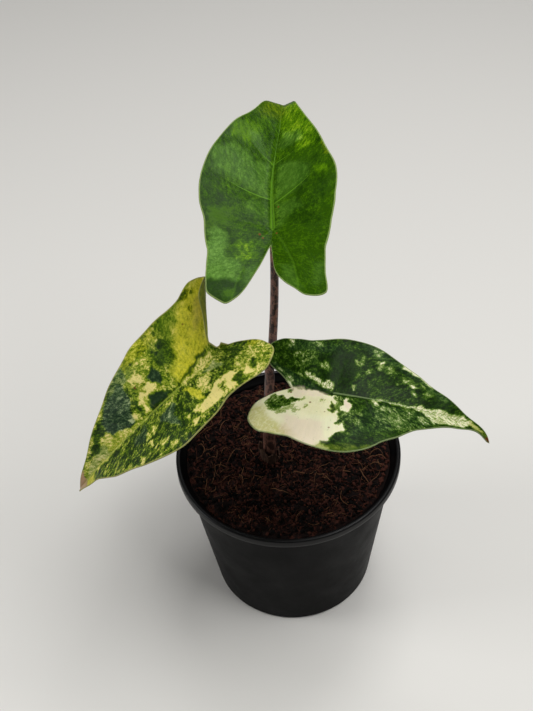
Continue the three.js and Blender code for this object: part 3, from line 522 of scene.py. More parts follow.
leafLeft = {
    "join": [-47.4, -48, 198.9], "heading": 203, "pitch": -32, "roll": -7,
    "arch": 3.5, "tipDroop": 13, "droopStart": 60, "tipTurn": 0, "lobeArch": 1.8, "sideBend": -1.7,
    "spineBow": 0, "fold": (16.4, 17.6), "foldTip": 1.7, "lobeTurn": (5.3, 15.1), "curl": (1.6, 0.1),
    "margin": ([77.5, 67.5, 58.9, 54, 45.7, 38.2, 34.1, 31.4, 29.4, 30.9, 37.3, 47.1, 49.2, 44.7,
                41.3, 37, 31.9, 28.4],
               [77.5, 68, 62.3, 56.3, 46.1, 38.7, 33.3, 30.2, 30.4, 33.8, 38.9, 47.1, 50.2, 43,
                32.6, 24, 24.3, 28.4]),
    "rolledEdge": {"from": (-21.3, -3.9), "to": (-42.6, -28.1), "radius": 2.8, "ease": 6},
    "rib": ([(0, 0), (6, 2.5), (13, 2), (24, 5), (45, 12)],
            [(0, 0), (5, 1.8), (10, 3), (20, 4.5), (30, 12), (45, 24)]),
    "laterals": ([(-32, -0.3, 0), (-20, -0.25, 0), (-9, -0.15, 0)] + frontVeins,
                 [(-32, -0.5, 0), (-20, -0.4, 0), (-9, -0.25, 0)] + frontVeins),
    "tissue": (0.37, 0.57),
    "tones": ["#152905", "#2a4208", "#4a670c", "#788d1f", "#a8ad3c", "#e3d584"],
    "yellowTones": ["#566f06", "#a0a210", "#d6d03a"], "paintedSheenTones": ["#1f3422", "#4b6345", "#9dae84"],
    "vein": "#93a03e", "marginLine": "#a39f5c", "pink": "#b08d6c", "midWidth": 0.55, "midEnd": 90,
    "veinStrength": 0.1, "groove": 0.4, "lateralRelief": 0.25, "shine": 0.14, "contrast": 1.25, "stripes": 0.09,
    "patches": [
        ("darkFlecked", 2, [(-3, 1), (22, 1), (70, 0), (58, 12), (30, 26), (6, 34), (-2, 30)]),
        ("lightMottled", 2, [(-25, 12), (-25, 34), (-48, 34), (-48, 8), (-34, 12)]),
        ("mottled", 2, [(-25, 2), (-3, 2), (-3, 27), (-25, 27)]),
        ("darkFlecked", 1.5, [(-24, 26.5), (0, 26.5), (0, 31), (-24, 29.5)]),
        ("lightMottled", 2, [(3, 1), (15, 1), (15, 6), (4, 6.5)]),
        ("darkFlecked", 1.2, [(-34, 3), (-22, 1), (-22, 8), (-26, 12), (-34, 10)]),
        ("darkFlecked", 1, [(-26, 12), (-22, 16), (-17, 13.8), (-16.2, 9), (-13, 7), (-14, 5), (-19, 6), (-24, 10)]),
        ("dark", 0.8, [(-26, 27), (-22, 27.5), (-21.5, 22.5), (-23.5, 21.3), (-26, 22)]),
        ("dark", 0.8, [(-34.5, 25), (-31.5, 25.5), (-31, 21.5), (-34, 21)]),
        ("creamFlecked", 1.5, [(-16, 6), (-9, 5), (-7, 13), (-12, 13.5)]),
        ("paleGreen", 1, [(-22.5, 10.5), (-19.8, 10.8), (-19, 8), (-14, 5), (-12.5, 2.5), (-17, 1.5), (-20, 3),
            (-22.5, 6.5)]),
        ("light", 0.7, [(-0.5, 2.2), (-2.9, 7.3), (-3.6, 11), (-4.6, 15), (-8, 18), (-7.8, 12), (-6.4, 8),
            (-4.2, 5)]),
        ("cream", 0.6, [(-21, 25.2), (-19.3, 26.1), (-17.4, 25.4), (-16.2, 23.8), (-12.7, 24.2), (-9.8, 24.5),
            (-7.9, 25.2), (-5.5, 24.5), (-2.9, 22.8), (-3.1, 21.1), (-0.5, 18.3), (-3.1, 17.8), (-5.5, 19),
            (-8.9, 18.5), (-11.2, 17.3), (-13.6, 15.2), (-16.5, 14.4), (-19.3, 14.8), (-22.2, 16), (-24.8, 17.8),
            (-26, 20.7), (-22.7, 20.9), (-21.7, 22.8)]),
        ("mottled", 0.5, [(-16.7, 23.6), (-15.5, 22), (-15.1, 19), (-16, 17.4), (-17.8, 17.6), (-17.5, 20)]),
        ("cream", 0.4, [(-3.2, 26.3), (-1.2, 24.4), (1.4, 25.8), (2.1, 24.8), (0.4, 21.5), (-0.4, 22.6),
            (-1.6, 23.3)]),
        ("cream", 0.4, [(0.9, 18.4), (2.3, 18.6), (2.2, 20.2), (1, 20)]),
        ("cream", 0.7, [(-31.2, 27.8), (-27.9, 26.4), (-27.3, 22.6), (-29.3, 22.2), (-30.5, 25)]),
        ("creamFlecked", 0.8, [(-33.5, 30.5), (-29, 29.8), (-29.5, 28), (-33, 28)]),
        ("creamFlecked", 0.8, [(-20.5, -3.8), (-10, -2), (0, 0), (-3, 1.6), (-12, 1.6), (-21, 0.5)]),
        ("limeMottled", 2, [(-1.2, -2), (-1.2, -12), (2.6, -17), (0, -20), (-8, -23), (-12, -30), (10, -34),
            (22, -26), (21, -14), (24, -2)]),
        ("lime", 2.5, [(-1.2, -1.4), (-10, -3.6), (-20, -5.2), (-24, -4), (-52, -6), (-52, -36), (-14, -36),
            (-8.5, -24), (-10.5, -17), (-8, -12), (-4, -9), (-1.2, -8)]),
        ("yellowMottled", 4, [(-1.2, -1.4), (-20, -5.2), (-50, -8), (-50, -34), (-30, -30), (-20, -26), (-13, -21),
            (-9, -14), (-4, -9), (-1.2, -8)]),
        ("darkFlecked", 1, [(-23, -30), (-25, -28.6), (-29, -27.6), (-33, -27.4), (-34, -29), (-28, -31)]),
        ("mottled", 1.2, [(-26, -21), (-28, -21), (-29, -23.5), (-27, -24)]),
        ("deepGreen", 1.4, [(-6.5, -11), (-4.1, -13), (-2.2, -11.8), (0, -13), (2, -17), (-0.3, -19.5), (-3.1, -18.6),
            (-6, -22), (-8.1, -22.8), (-9.6, -20.6), (-10.3, -17.4), (-8.4, -13)]),
        ("solidDark", 0.5, [(-4.2, -20), (-5, -22), (-6.6, -21.4), (-5.8, -20)]),
        ("solidDark", 0.5, [(-1.4, -18.2), (0.2, -18.6), (-0.6, -20), (-3, -19.6)]),
        ("cream", 0.9, [(16.9, -2.7), (18.3, -1.2), (20, -1.2), (19, -4.5), (18.6, -9), (16.4, -10.4), (13.5, -9.6),
            (11.6, -12.2), (10.2, -13), (8.8, -11), (6.9, -8), (8.8, -6.7), (11.1, -7.9), (13.5, -8.6), (15.6, -7.4),
            (16.9, -5)]),
        ("creamFlecked", 1, [(9, -13), (16, -12), (17, -19), (12, -20)]),
        ("dark", 0.8, [(5.2, -7.2), (6.9, -9.8), (8.3, -12.7), (6.9, -13.9), (4, -15.2), (3.5, -13.1), (2.3, -12),
            (3, -9.8)]),
        ("solidDark", 0.6, [(4.5, -0.9), (6.2, -2.6), (9, -4.8), (11.1, -5.8), (14, -7.3), (15.4, -6.5), (14.6, -5.3),
            (15.9, -2.2), (15.6, -0.8)]),
        ("dark", 0.8, [(19.2, -2), (21.5, -3), (21.5, -9), (19.6, -10)]),
        ("greyStreaked", 0.8, [(27.8, -1.8), (35, -3.6), (40.2, -6.6), (41.9, -9.9), (41.6, -12.8), (39.7, -14),
            (36.9, -15.8), (34, -18.4), (31.6, -20), (23.5, -21.5), (20.5, -19), (22, -12), (25, -8), (26.4, -3.4)]),
        ("mottled", 1.2, [(20.5, -8), (26.5, -7), (30, -12), (26, -17.5), (21, -15)]),
        ("dark", 0.7, [(50.7, -4), (53.8, -4.2), (54.6, -7), (52.6, -9.4), (49.2, -11), (45, -13.8), (42.4, -13.4),
            (41.6, -10.9), (47.3, -8.3)]),
        ("paleGreen", 0.6, [(21, 0.9), (21, -0.8), (27.8, -1.2), (34.5, -3), (36.9, -5), (40, -6.1), (41.4, -8.5),
            (43.5, -7.3), (46.4, -7.5), (48, -5.9), (50.2, -4), (52.8, -3.7), (54.2, -5.6), (55.9, -4.7),
            (60.4, -3.2), (68, -0.6), (68, 1), (57, 1.2), (36, 1)]),
        ("creamFlecked", 0.5, [(44, -5), (48, -5), (47.6, -7.6), (44.6, -7.2)]),
        ("creamFlecked", 0.6, [(23, -2), (26, -2), (29.7, -4.4), (29, -5.8), (25.6, -5), (23.6, -6)]),
        ("creamFlecked", 0.5, [(49.7, 0.9), (53.5, 0.7), (53.5, -2), (50, -2)]),
        ("cream", 0.4, [(55, 0.8), (57, 0.8), (56.8, 2.5), (55.4, 2.3)]),
        ("creamFlecked", 0.5, [(32, -19.4), (38.8, -16.6), (45.4, -13.4), (46, -14.6), (38.8, -18.4), (32.4, -21)]),
        ("creamFlecked", 0.5, [(51, -10.6), (53.5, -8.7), (55.9, -6.7), (58.2, -6.6), (56, -9.6), (51.4, -12)]),
        ("creamFlecked", 0.5, [(59.5, -3.4), (66.4, -2), (66.4, -5), (59.5, -6)]),
        ("creamFlecked", 0.7, [(18.3, 11.5), (19.6, 12), (19.6, 6.4), (18.4, 6.6)]),
        ("creamFlecked", 0.7, [(21, 11), (23.6, 12), (23, 7.6), (21.6, 8)]),
        ("creamFlecked", 0.8, [(20.8, 13.4), (23, 14), (22.6, 17.4), (21, 17.2)]),
        ("creamFlecked", 0.8, [(27.6, 18), (30.4, 17), (29.4, 20.2), (27.8, 20)]),
        ("creamFlecked", 0.8, [(15, 20.6), (17.2, 20.6), (17.2, 22.8), (15, 22.8)]),
        ("creamFlecked", 0.8, [(10.2, 23), (14, 23), (14, 26.4), (11, 26)]),
        ("lightMottled", 1.2, [(36, 3), (39.4, 3), (39.4, 7.4), (36, 7.4)]),
        ("light", 0.6, [(23, 25.2), (26.9, 23), (26.9, 24.6), (23, 27)]),
        ("lightMottled", 0.8, [(30.2, 21.3), (38.8, 16), (39.6, 17.6), (31, 23)]),
        ("light", 0.5, [(42, 14.2), (45.4, 11.4), (45.8, 12), (42.4, 14.8)]),
        ("light", 1, [(59, 1.4), (67, 0.8), (67, 4), (60, 6)]),
        ("solidDark", 0.35, [(0, -0.7), (-5, -1.8), (-9, -2.8), (-15, -3.9), (-20.5, -4), (-20.5, -4.9), (-15, -4.9),
            (-9, -3.9), (-5, -2.7)]),
    ],
    # the grey tints are painted sheen: pale or bluish grey-green where the glossy leaf reflects a lamp
    "tints": [
        ("yellow", 0.95, 5, [(-1.4, -1.4), (-20, -5.2), (-52, -8), (-52, -33), (-30, -29), (-21, -25), (-13, -19),
            (-8, -12), (-4, -9), (-1.2, -8)]),
        ("yellow", 0.8, 0.8, [(-0.5, 2.2), (-2.9, 7.3), (-3.6, 11), (-4.6, 15), (-8, 18), (-7.8, 12), (-6.4, 8),
            (-4.2, 5)]),
        ("yellow", 0.6, 2, [(-42, 0), (-32, 0), (-36, 14), (-44, 18)]),
        ("yellow", 0.5, 3, [(-6, -24), (16, -23), (16, -31), (-6, -34)]),
        ("yellow", 0.7, 1, [(59, 1.4), (67, 0.8), (67, 4), (60, 6)]),
        ("grey", 0.75, 0.8, [(6.4, 21.1), (7.3, 20.2), (9.2, 15.9), (11.9, 12.6), (14.2, 10.2), (13.8, 6.9),
            (10.2, 6.4), (6.4, 5.9), (5.4, 4.5), (4.5, 7.3), (6.9, 10.2), (6.1, 14)]),
        ("grey", 0.6, 1.2, [(24.5, 11), (29.7, 11), (30.7, 7.2), (29.7, 5.3), (23.5, 3.4), (21.6, 2.5), (23, 8)]),
        ("grey", 0.8, 1.5, [(27.8, -1.8), (35, -3.6), (40.2, -6.6), (41.9, -9.9), (41.6, -12.8), (39.7, -14),
            (34, -18.4), (31.6, -20), (23.5, -21.5), (20.5, -19), (22, -12), (25, -8), (26.4, -3.4)]),
        ("grey", 0.5, 1.5, [(17, -19), (24, -20), (34, -19), (24, -25), (17, -27)]),
        ("grey", 0.7, 0.8, [(5.2, -7.2), (8.3, -12.7), (4, -15.2), (2.3, -12)]),
        ("grey", 0.5, 0.8, [(4.5, -0.9), (11.1, -5.8), (14, -7.3), (15.9, -2.2)]),
        ("grey", 0.5, 1, [(-22.5, 10.5), (-19, 8), (-14, 5), (-12.5, 2.5), (-20, 3)]),
        ("grey", 0.35, 1.5, [(44, -0.2), (66, -0.2), (58, -4), (48, -5)]),
        ("grey", 0.4, 0.5, [(-20.5, -4.2), (-9, -3), (-9, -3.9), (-20.5, -5)]),
        ("pink", 0.9, 0.8, [(66.6, -4), (67.4, 6), (80, 6), (80, -4)]),
        ("pink", 0.2, 3, [(-40, -28), (-26, -20), (-22, -14), (-30, -16), (-46, -24)]),
    ],
    "specks": [(-20, -20, 0.5), (16.5, -14, 0.6), (75, 3.6, 2.2)],
}

leafRight = {
    "join": [21.2, -48, 188.3], "heading": -13.3, "pitch": -2.8, "roll": 5.7,
    "arch": 4.4, "tipDroop": 16.2, "droopStart": 60, "tipTurn": -32, "lobeArch": 2.2, "sideBend": 1.2,
    "spineBow": 0, "fold": (12.3, 8.5), "foldTip": 4.4, "lobeTurn": (-1.7, 1.6), "curl": (4.9, 4.9),
    "margin": ([79, 64.6, 59, 53.3, 42.9, 37.3, 33.1, 31.2, 29.4, 30.4, 35.6, 39.6, 40.9, 39, 33.2, 25.3, 21.1, 19.5],
               [79, 63.1, 54.7, 48.1, 38.8, 35.2, 32.3, 32.4, 30.7, 31.2, 35.4, 39.4, 40.2, 37.1,
                34.5, 28.7, 22.3, 19.5]),
    "rib": ([(0, 0), (5, 3), (14, 7), (28, 11), (45, 15)],
            [(0, 0), (4, 2.8), (10, 5), (17, 6), (30, 9), (45, 13)]),
    "laterals": ([(-30, -0.4, 0), (-18, -0.3, 0), (-8, -0.15, 0)] + frontVeins,) * 2,
    "tissue": (0.24, 0.56),
    "tones": ["#0f2103", "#1a3206", "#304d0c", "#587528", "#98a564", "#e2dfba"],
    "yellowTones": ["#52700c", "#929a3c", "#b9b468"], "paintedSheenTones": ["#1d3324", "#45613f", "#94a684"],
    "vein": "#7d9160", "marginLine": "#7f8d5e", "pink": "#dcc2b4", "midWidth": 0.5, "midEnd": 60,
    "veinStrength": 0.06, "groove": 0.35, "lateralRelief": 0.2, "shine": 0.06, "contrast": 0.84, "stripes": 0.03,
    "patches": [
        ("dark", 2.5, [(-9, 1), (8, 1), (7, 22), (-1, 23), (-10, 16)]),
        ("mottled", 2, [(-21, 12), (-12, 12.6), (-11.6, 20), (-16, 22), (-21.6, 20)]),
        ("lightMottled", 1.2, [(-9.2, 15.2), (-6, 16), (-2.6, 11.5), (-4.6, 10), (-8.4, 13)]),
        ("creamFlecked", 0.8, [(-27, 27), (-24.6, 27), (-23.2, 23.6), (-25, 23.2)]),
        ("creamFlecked", 0.9, [(-13.6, 25), (-11, 26.6), (-9.6, 25), (-11, 24)]),
        ("creamFlecked", 0.4, [(-13.7, 9.9), (-11.3, 7.6), (-8.8, 5.7), (-5, 6), (-2.1, 5.8), (-0.4, 3.5),
            (-0.8, 0.8), (-3, 1.6), (-5.9, 3), (-9.7, 4.5), (-12.3, 6), (-14.3, 8.4)]),
        ("creamFlecked", 0.6, [(-19, 8), (-16, 6.8), (-15.6, 7.6), (-18.4, 9)]),
        ("creamFlecked", 0.8, [(-23.4, 5.2), (-20.6, 5), (-20.6, 7), (-23, 7)]),
        ("creamFlecked", 0.8, [(-28, 8.6), (-26, 8.4), (-25.8, 9.8), (-27.8, 10)]),
        ("lightMottled", 1, [(-31, 17), (-29, 16), (-28.6, 14), (-31, 14)]),
        ("lightMottled", 0.6, [(7.8, 18.9), (9.2, 18.6), (9.2, 16), (8, 15.6)]),
        ("lightMottled", 1, [(10, 22), (12.4, 22), (12, 17), (10, 17)]),
        ("creamFlecked", 0.7, [(6.8, 5.9), (8.2, 5.9), (8.2, 3.4), (7, 3.6)]),
        ("creamFlecked", 0.7, [(13.6, 15), (14.8, 15), (14.6, 12.8), (13.6, 13)]),
        ("lightMottled", 0.9, [(17, 20.2), (20.4, 19.8), (20.2, 16), (19.4, 14.4), (17.4, 16)]),
        ("lightMottled", 1.1, [(14.6, 25.8), (19.2, 25), (19, 22.4), (15.4, 23)]),
        ("lightMottled", 0.9, [(22.8, 18.6), (25.6, 18.4), (25.4, 15.6), (23, 15)]),
        ("lightMottled", 1, [(30.2, 13.8), (34.4, 13.4), (34, 11), (30.6, 11)]),
        ("cream", 0.8, [(32.8, 11), (35, 10.4), (36.8, 9.4), (36, 8), (33.8, 8.4)]),
        ("cream", 0.5, [(35, 6.8), (37, 6.8), (37, 5.2), (35.2, 5.2)]),
        ("creamFlecked", 0.7, [(38.4, 11.4), (40.2, 11.6), (40, 10.2), (38.6, 10.4)]),
        ("lightMottled", 0.7, [(40.4, 8), (44.4, 10.2), (44.8, 9.4), (41, 7.2)]),
        ("creamFlecked", 0.5, [(26.6, 10.2), (27.6, 10.4), (27.4, 9), (26.6, 9)]),
        ("cream", 0.4, [(30, 19), (34.7, 17.2), (38.5, 14.8), (44.2, 12.2), (46, 14.5), (40, 18.5), (30, 24)]),
        ("dark", 1, [(44, 2), (58, 1.8), (52, 7), (45, 7)]),
        ("mottled", 2.5, [(18, -4), (36, -2), (44, -8), (34, -16), (18, -16)]),
        ("dark", 1.5, [(-3, -29), (12, -28), (26, -21), (40, -14), (40, -18), (14, -34), (-6, -34)]),
        ("mottled", 1, [(8, -9), (13, -9), (14, -18), (10, -16)]),
        ("light", 0.8, [(-6, -29.6), (-1, -28.8), (2, -30), (2, -33), (-6, -33)]),
        ("creamFlecked", 1, [(20.8, -3.2), (23.4, -3.4), (23, -6.4), (21, -5.6)]),
        ("creamFlecked", 0.9, [(39, -5.2), (40.8, -5.4), (40.8, -8), (39.2, -8)]),
        ("lightMottled", 1.6, [(24, -7), (32, -8), (33, -13), (27, -15)]),
        ("mottled", 0.6, [(0, -1.6), (3.4, -1.6), (3, -5), (4.8, -7), (3, -8), (3.6, -11), (6.4, -12.2), (8.2, -10),
            (9, -14), (6.6, -17.6), (3, -16), (3, -12), (2, -6)]),
        ("cream", 0.6, [(3.8, -2.8), (6, -1.7), (7, -3.6), (8.9, -5.5), (8.9, -7.9), (7.4, -10.3), (6, -11.7),
            (3.8, -10.6), (3.2, -8.2), (4.8, -7), (5, -4.4)]),
        ("cream", 0.5, [(-18.3, 0.6), (-14.5, -0.2), (-9.7, -0.3), (-5.9, -1), (-2.1, -1.5), (-0.2, -1.8),
            (0.8, -3.6), (2.5, -5), (2.2, -8.9), (2.6, -11.7), (3.4, -14.1), (3, -16.5), (6, -17.9), (6.5, -19.8),
            (4.6, -21.2), (3.1, -24.1), (0.3, -26.5), (-1.6, -27.4), (-1.6, -28.9), (-4.5, -30.3), (-6, -36),
            (-48, -36), (-48, 4), (-20, 4)]),
        ("dark", 0.5, [(0, -5.5), (1.6, -6.5), (2, -9.8), (1.1, -12.4), (0.2, -12.4), (-0.4, -8.9)]),
        ("middle", 0.6, [(-20.3, -1.2), (-18.4, -1), (-18.2, -2.8), (-20, -2.8)]),
        ("mottled", 0.7, [(-26.4, -6), (-23.5, -5.4), (-21.1, -7.4), (-20.2, -8.9), (-17.3, -7), (-15.4, -5.9),
            (-12.8, -6.1), (-15.9, -8), (-17.8, -9.5), (-21.1, -11.8), (-24, -14.2), (-27.8, -14.2), (-29.4, -12.2),
            (-28.3, -10.3)]),
        ("darkFlecked", 0.5, [(-24, -9), (-19, -9), (-16, -6.4), (-18, -6.8), (-22, -8.6), (-24, -12), (-26, -13)]),
        ("paleGreen", 1.2, [(-23.5, -16), (-24, -13.6), (-21.6, -12.2), (-17.3, -9.8), (-15.9, -12.2), (-13.5, -13.1),
            (-15.4, -14.4), (-19.2, -15.8)]),
        ("paleGreen", 0.7, [(-11.6, -8.6), (-10, -8.8), (-10.6, -11), (-12, -11)]),
        ("paleGreen", 0.7, [(-5, -5.4), (-3.6, -5.4), (-4.6, -7), (-6, -7)]),
        ("creamFlecked", 0.5, [(20, 0.5), (29.9, 0.8), (37, 1.3), (43.2, 1.5), (48.5, 1.8), (51.3, 2), (52.5, 3.3),
            (53.5, 2), (56.1, 1.5), (58.5, 2.4), (61.1, 4), (61.8, 2.4), (65.6, 1.4), (72, 0.6), (72, -0.4),
            (63.7, -1.4), (59.4, -2.9), (53.2, -4.5), (49.4, -5.5), (45.1, -6.4), (44.7, -4.8), (43.7, -3.3),
            (41.8, -2.9), (40.4, -1.7), (37, -1), (36.1, -0.2), (29.9, -0.5), (20, -0.3)]),
        ("creamFlecked", 0.8, [(17, 0.3), (20, -0.4), (21, -2.4), (19.4, -3), (17.6, -1.6)]),
    ],
    # the grey tints are painted sheen: grey-green bands where the glossy leaf reflects a lamp
    "tints": [
        ("yellow", 0.75, 4, [(-29, -14), (-26, -19), (-14, -24), (-14, -34), (-48, -34), (-48, -12)]),
        ("yellow", 0.5, 1.5, [(-6, -29), (12, -28), (26, -22), (26, -30), (-6, -35)]),
        ("yellow", 0.25, 4, [(-14, -4), (2, -4), (2, -14), (-14, -14)]),
        ("grey", 0.25, 1.2, [(-32, 10.2), (-29.7, 13), (-21.1, 8.3), (-13.5, 4.5), (-3, 0.7), (-10.7, 0.3),
            (-17.3, 0.3), (-23.5, 4), (-28.3, 6.3)]),
        ("grey", 0.19, 2, [(-25, 20.5), (0, 21), (0, 26.5), (-25, 26)]),
        ("grey", 0.21, 2, [(8, 27), (12, 24), (22, 20), (34, 15), (44, 9.5), (54, 6.5), (52, 12), (30, 24),
            (12, 32)]),
        ("grey", 0.19, 3, [(18, -2), (44, -2), (48, -6), (34, -14), (20, -18), (10, -24), (12, -12)]),
        ("grey", 0.09, 3, [(-8, -14), (2, -14), (2, -22), (-8, -22)]),
        ("pink", 0.45, 4, [(-19, -17), (-3, -17), (-1, -27), (-6, -32), (-19, -26)]),
        ("pink", 0.4, 1.5, [(-20, 1), (-2, -0.8), (-6, -3.6), (-17, -5.4)]),
        ("pink", 0.5, 0.8, [(4.2, -2.6), (7, -3.4), (8.8, -6), (7, -9.6), (5.6, -7)]),
        ("yellow", 0.8, 1.5, [(64, 1.5), (70, 1.2), (77, 1), (77, -1), (70, -1.4), (64, -1.6)]),
    ],
    "specks": [(-19, -3, 0.5), (-9.5, -7.5, 0.5), (0.5, -20, 0.45), (-2.4, -12, 0.35), (77.6, 0.3, 1.9)],
}

blade = {
    "rays": 360, "shares": 92, "thickness": 0.55, "ribDepth": 1.1, "ribWidth": 1.5, "sideRib": 0.22,
    "lateralDepth": 0.22, "lateralWidth": 0.9, "grooveDepth": 0.32, "grooveWidth": 0.8, "lobeGroove": 0.25,
    "shoulder": 0.22, "bulge": 0.45, "wave": 0.35, "rust": "#6b3d1c", "back": "#728c58",
    "edgeTurns": (0.8, 0, -0.8), "edgeUnder": (0.0, 0.3, 0.8),  # the rim's rows, and how far each is of the underside
}


def marginReach(distances, angles):
    # monotone cubic through the inverse distances at the margin angles, turned back into a distance
    x = np.array(marginAngles, float)
    y = 1 / np.array(distances, float)
    step = np.diff(x)
    slope = np.diff(y) / step
    tangent = np.concatenate([slope[:1], np.zeros(len(x) - 2), slope[-1:]])
    wide = 2 * step[1:] + step[:-1]
    near = step[1:] + 2 * step[:-1]
    same = slope[:-1] * slope[1:] > 0
    before = np.where(same, slope[:-1], 1.0)
    after = np.where(same, slope[1:], 1.0)
    tangent[1:-1] = np.where(same, (wide + near) / (wide / before + near / after), 0)
    i = np.clip(np.searchsorted(x, angles, side="right") - 1, 0, len(step) - 1)
    t = (angles - x[i]) / step[i]
    value = (y[i] * (1 + 2 * t) * (1 - t) ** 2 + tangent[i] * step[i] * t * (1 - t) ** 2
             + y[i + 1] * t * t * (3 - 2 * t) + tangent[i + 1] * step[i] * t * t * (t - 1))
    return 1 / value


def leafFrame(leaf, s):
    # directions along, left of and up from the midrib at s: the start turned by the bends that add up to s
    heading, pitch, roll = (math.radians(leaf[key]) for key in ("heading", "pitch", "roll"))
    forward = np.array([math.cos(heading) * math.cos(pitch), math.sin(heading) * math.cos(pitch), math.sin(pitch)])
    level = unit(np.cross([0, 0, 1.0], forward))
    side = level * math.cos(roll) + np.cross(forward, level) * math.sin(roll)
    normal = np.cross(forward, side)
    past, ease = np.maximum(0, s - leaf["droopStart"]), 12  # the droop sets in over 12 mm
    droop = np.where(past < ease, past * past / (2 * ease), past - ease / 2)
    down = np.radians(np.where(s >= 0, leaf["arch"] * s + leaf["tipDroop"] * droop, leaf["lobeArch"] * s) / 10)
    turn = np.radians((leaf["sideBend"] * s + leaf["tipTurn"] * droop) / 10)
    down, turn = down[..., None], turn[..., None]
    ahead = np.cos(turn) * forward + np.sin(turn) * side
    left = np.cos(turn) * side - np.sin(turn) * forward
    along = np.cos(down) * ahead - np.sin(down) * normal
    return along, left, np.cross(along, left)


def rolledOver(leaf, s, t):
    # past a straight line in the flat leaf the lobe's edge rolls up on a circle: (r sin a, r (1 - cos a))
    edge = leaf.get("rolledEdge")
    if not edge:
        return s, t, np.zeros_like(s)
    start, end = np.array(edge["from"]), np.array(edge["to"])
    along = unit(end - start)
    inward = np.array([along[1], -along[0]])
    run = (s - start[0]) * along[0] + (t - start[1]) * along[1]
    past = (s - start[0]) * inward[0] + (t - start[1]) * inward[1] + edge["radius"]
    share = smoothStep(run, 0, edge["ease"])
    rolls = (t < 0) & (past > 0) & (share > 0)
    share = np.where(rolls, share, 1)
    past = np.where(rolls, past, 0)
    turn = share * past / edge["radius"]
    shift = np.sin(turn) * edge["radius"] / share - past
    lift = (1 - np.cos(turn)) * edge["radius"] / share
    return s + shift * inward[0], t + shift * inward[1], lift


def leafSheet(leaf, flatS, flatT):
    # the flat leaf laid on its curved sheet: midrib point, plus an arc to each side that starts at the fold
    # angle and bends by the curl, sideways (sin F - sin(F - k w)) / k and upward (cos(F - k w) - cos F) / k;
    # the fold changes evenly towards the tip and the lobes
    s, t, lift = rolledOver(leaf, flatS, flatT)
    step, atJoin = 0.5, 160
    stations = (np.arange(421) - atJoin) * step
    middles = leafFrame(leaf, (stations[1:] + stations[:-1]) / 2)[0] * step
    path = np.vstack([np.zeros(3), np.cumsum(middles, 0)])
    path = path - path[atJoin] + np.array(leaf["join"])
    midrib = np.stack([np.interp(s, stations, path[:, k]) for k in range(3)], -1)
    _, left, up = leafFrame(leaf, s)
    onLeft = t > 0
    away = np.abs(t)
    fold = np.radians(np.where(onLeft, *leaf["fold"]) + leaf["foldTip"] * np.clip(s / 80, 0, 1.3)
                      + np.where(onLeft, *leaf["lobeTurn"]) * np.clip(-s / 40, 0, 1.5))
    curl = np.radians(np.where(onLeft, *leaf["curl"]) / 10) + 1e-6
    across = (np.sin(fold) - np.sin(fold - curl * away)) / curl
    rise = (np.cos(fold - curl * away) - np.cos(fold)) / curl
    bow = np.where(s > 0, leaf["spineBow"] * np.sin(np.pi * s / 50) * s / (np.abs(s) + 4), 0)
    return midrib + (bow + np.sign(t) * across)[..., None] * left + (rise + lift)[..., None] * up


def signedDistance(s, t, polygon):
    # distance to a polygon's outline, positive inside: nearest point on each edge, and crossings of a ray
    corners = np.array(polygon, float)
    nearest = np.full(s.shape, 1e9)
    inside = np.zeros(s.shape, bool)
    for a, b in zip(corners, np.roll(corners, -1, 0)):
        edge = b - a
        share = np.clip(((s - a[0]) * edge[0] + (t - a[1]) * edge[1]) / (edge @ edge), 0, 1)
        nearest = np.minimum(nearest, np.hypot(s - a[0] - share * edge[0], t - a[1] - share * edge[1]))
        if a[1] != b[1]:
            crosses = (a[1] > t) != (b[1] > t)
            inside ^= crosses & (s < a[0] + (t - a[1]) * edge[0] / edge[1])
    return np.where(inside, nearest, -nearest)


def lateralIndex(leaf, s, t):
    # which side vein a point is at, whole numbers on the veins: each vein is s = s0 + a w + b w^2 with w = |t|
    away = np.abs(t)
    index = np.zeros_like(s)
    spacing = np.zeros_like(s)
    for side, on in ((0, t >= 0), (1, t < 0)):
        veins = np.array(leaf["laterals"][side])
        places = veins[:, 0, None] + veins[:, 1, None] * away + veins[:, 2, None] * away ** 2
        gaps = np.diff(places, axis=0)
        shares = np.clip((s - places[:-1]) / gaps, 0, 1).sum(0)
        shares = shares + np.minimum(0, (s - places[0]) / gaps[0]) + np.maximum(0, (s - places[-1]) / gaps[-1])
        here = np.clip(np.floor(shares).astype(int), 0, len(gaps) - 1)
        index = np.where(on, shares, index)
        spacing = np.where(on, np.take_along_axis(gaps, here[None], 0)[0], spacing)
    return index, spacing


def ribDistance(leaf, s, t):
    # distance across to the vein that runs back into each lobe, + outside it; ahead of the join it only grows
    away = np.abs(t)
    back = np.maximum(0, -s)
    courses = [np.array(course, float) for course in leaf["rib"]]
    rib = np.where(t >= 0, np.interp(back, courses[0][:, 0], courses[0][:, 1]),
                   np.interp(back, courses[1][:, 0], courses[1][:, 1]))
    return np.where(s < 0, (away - rib) * 0.94, away + s)


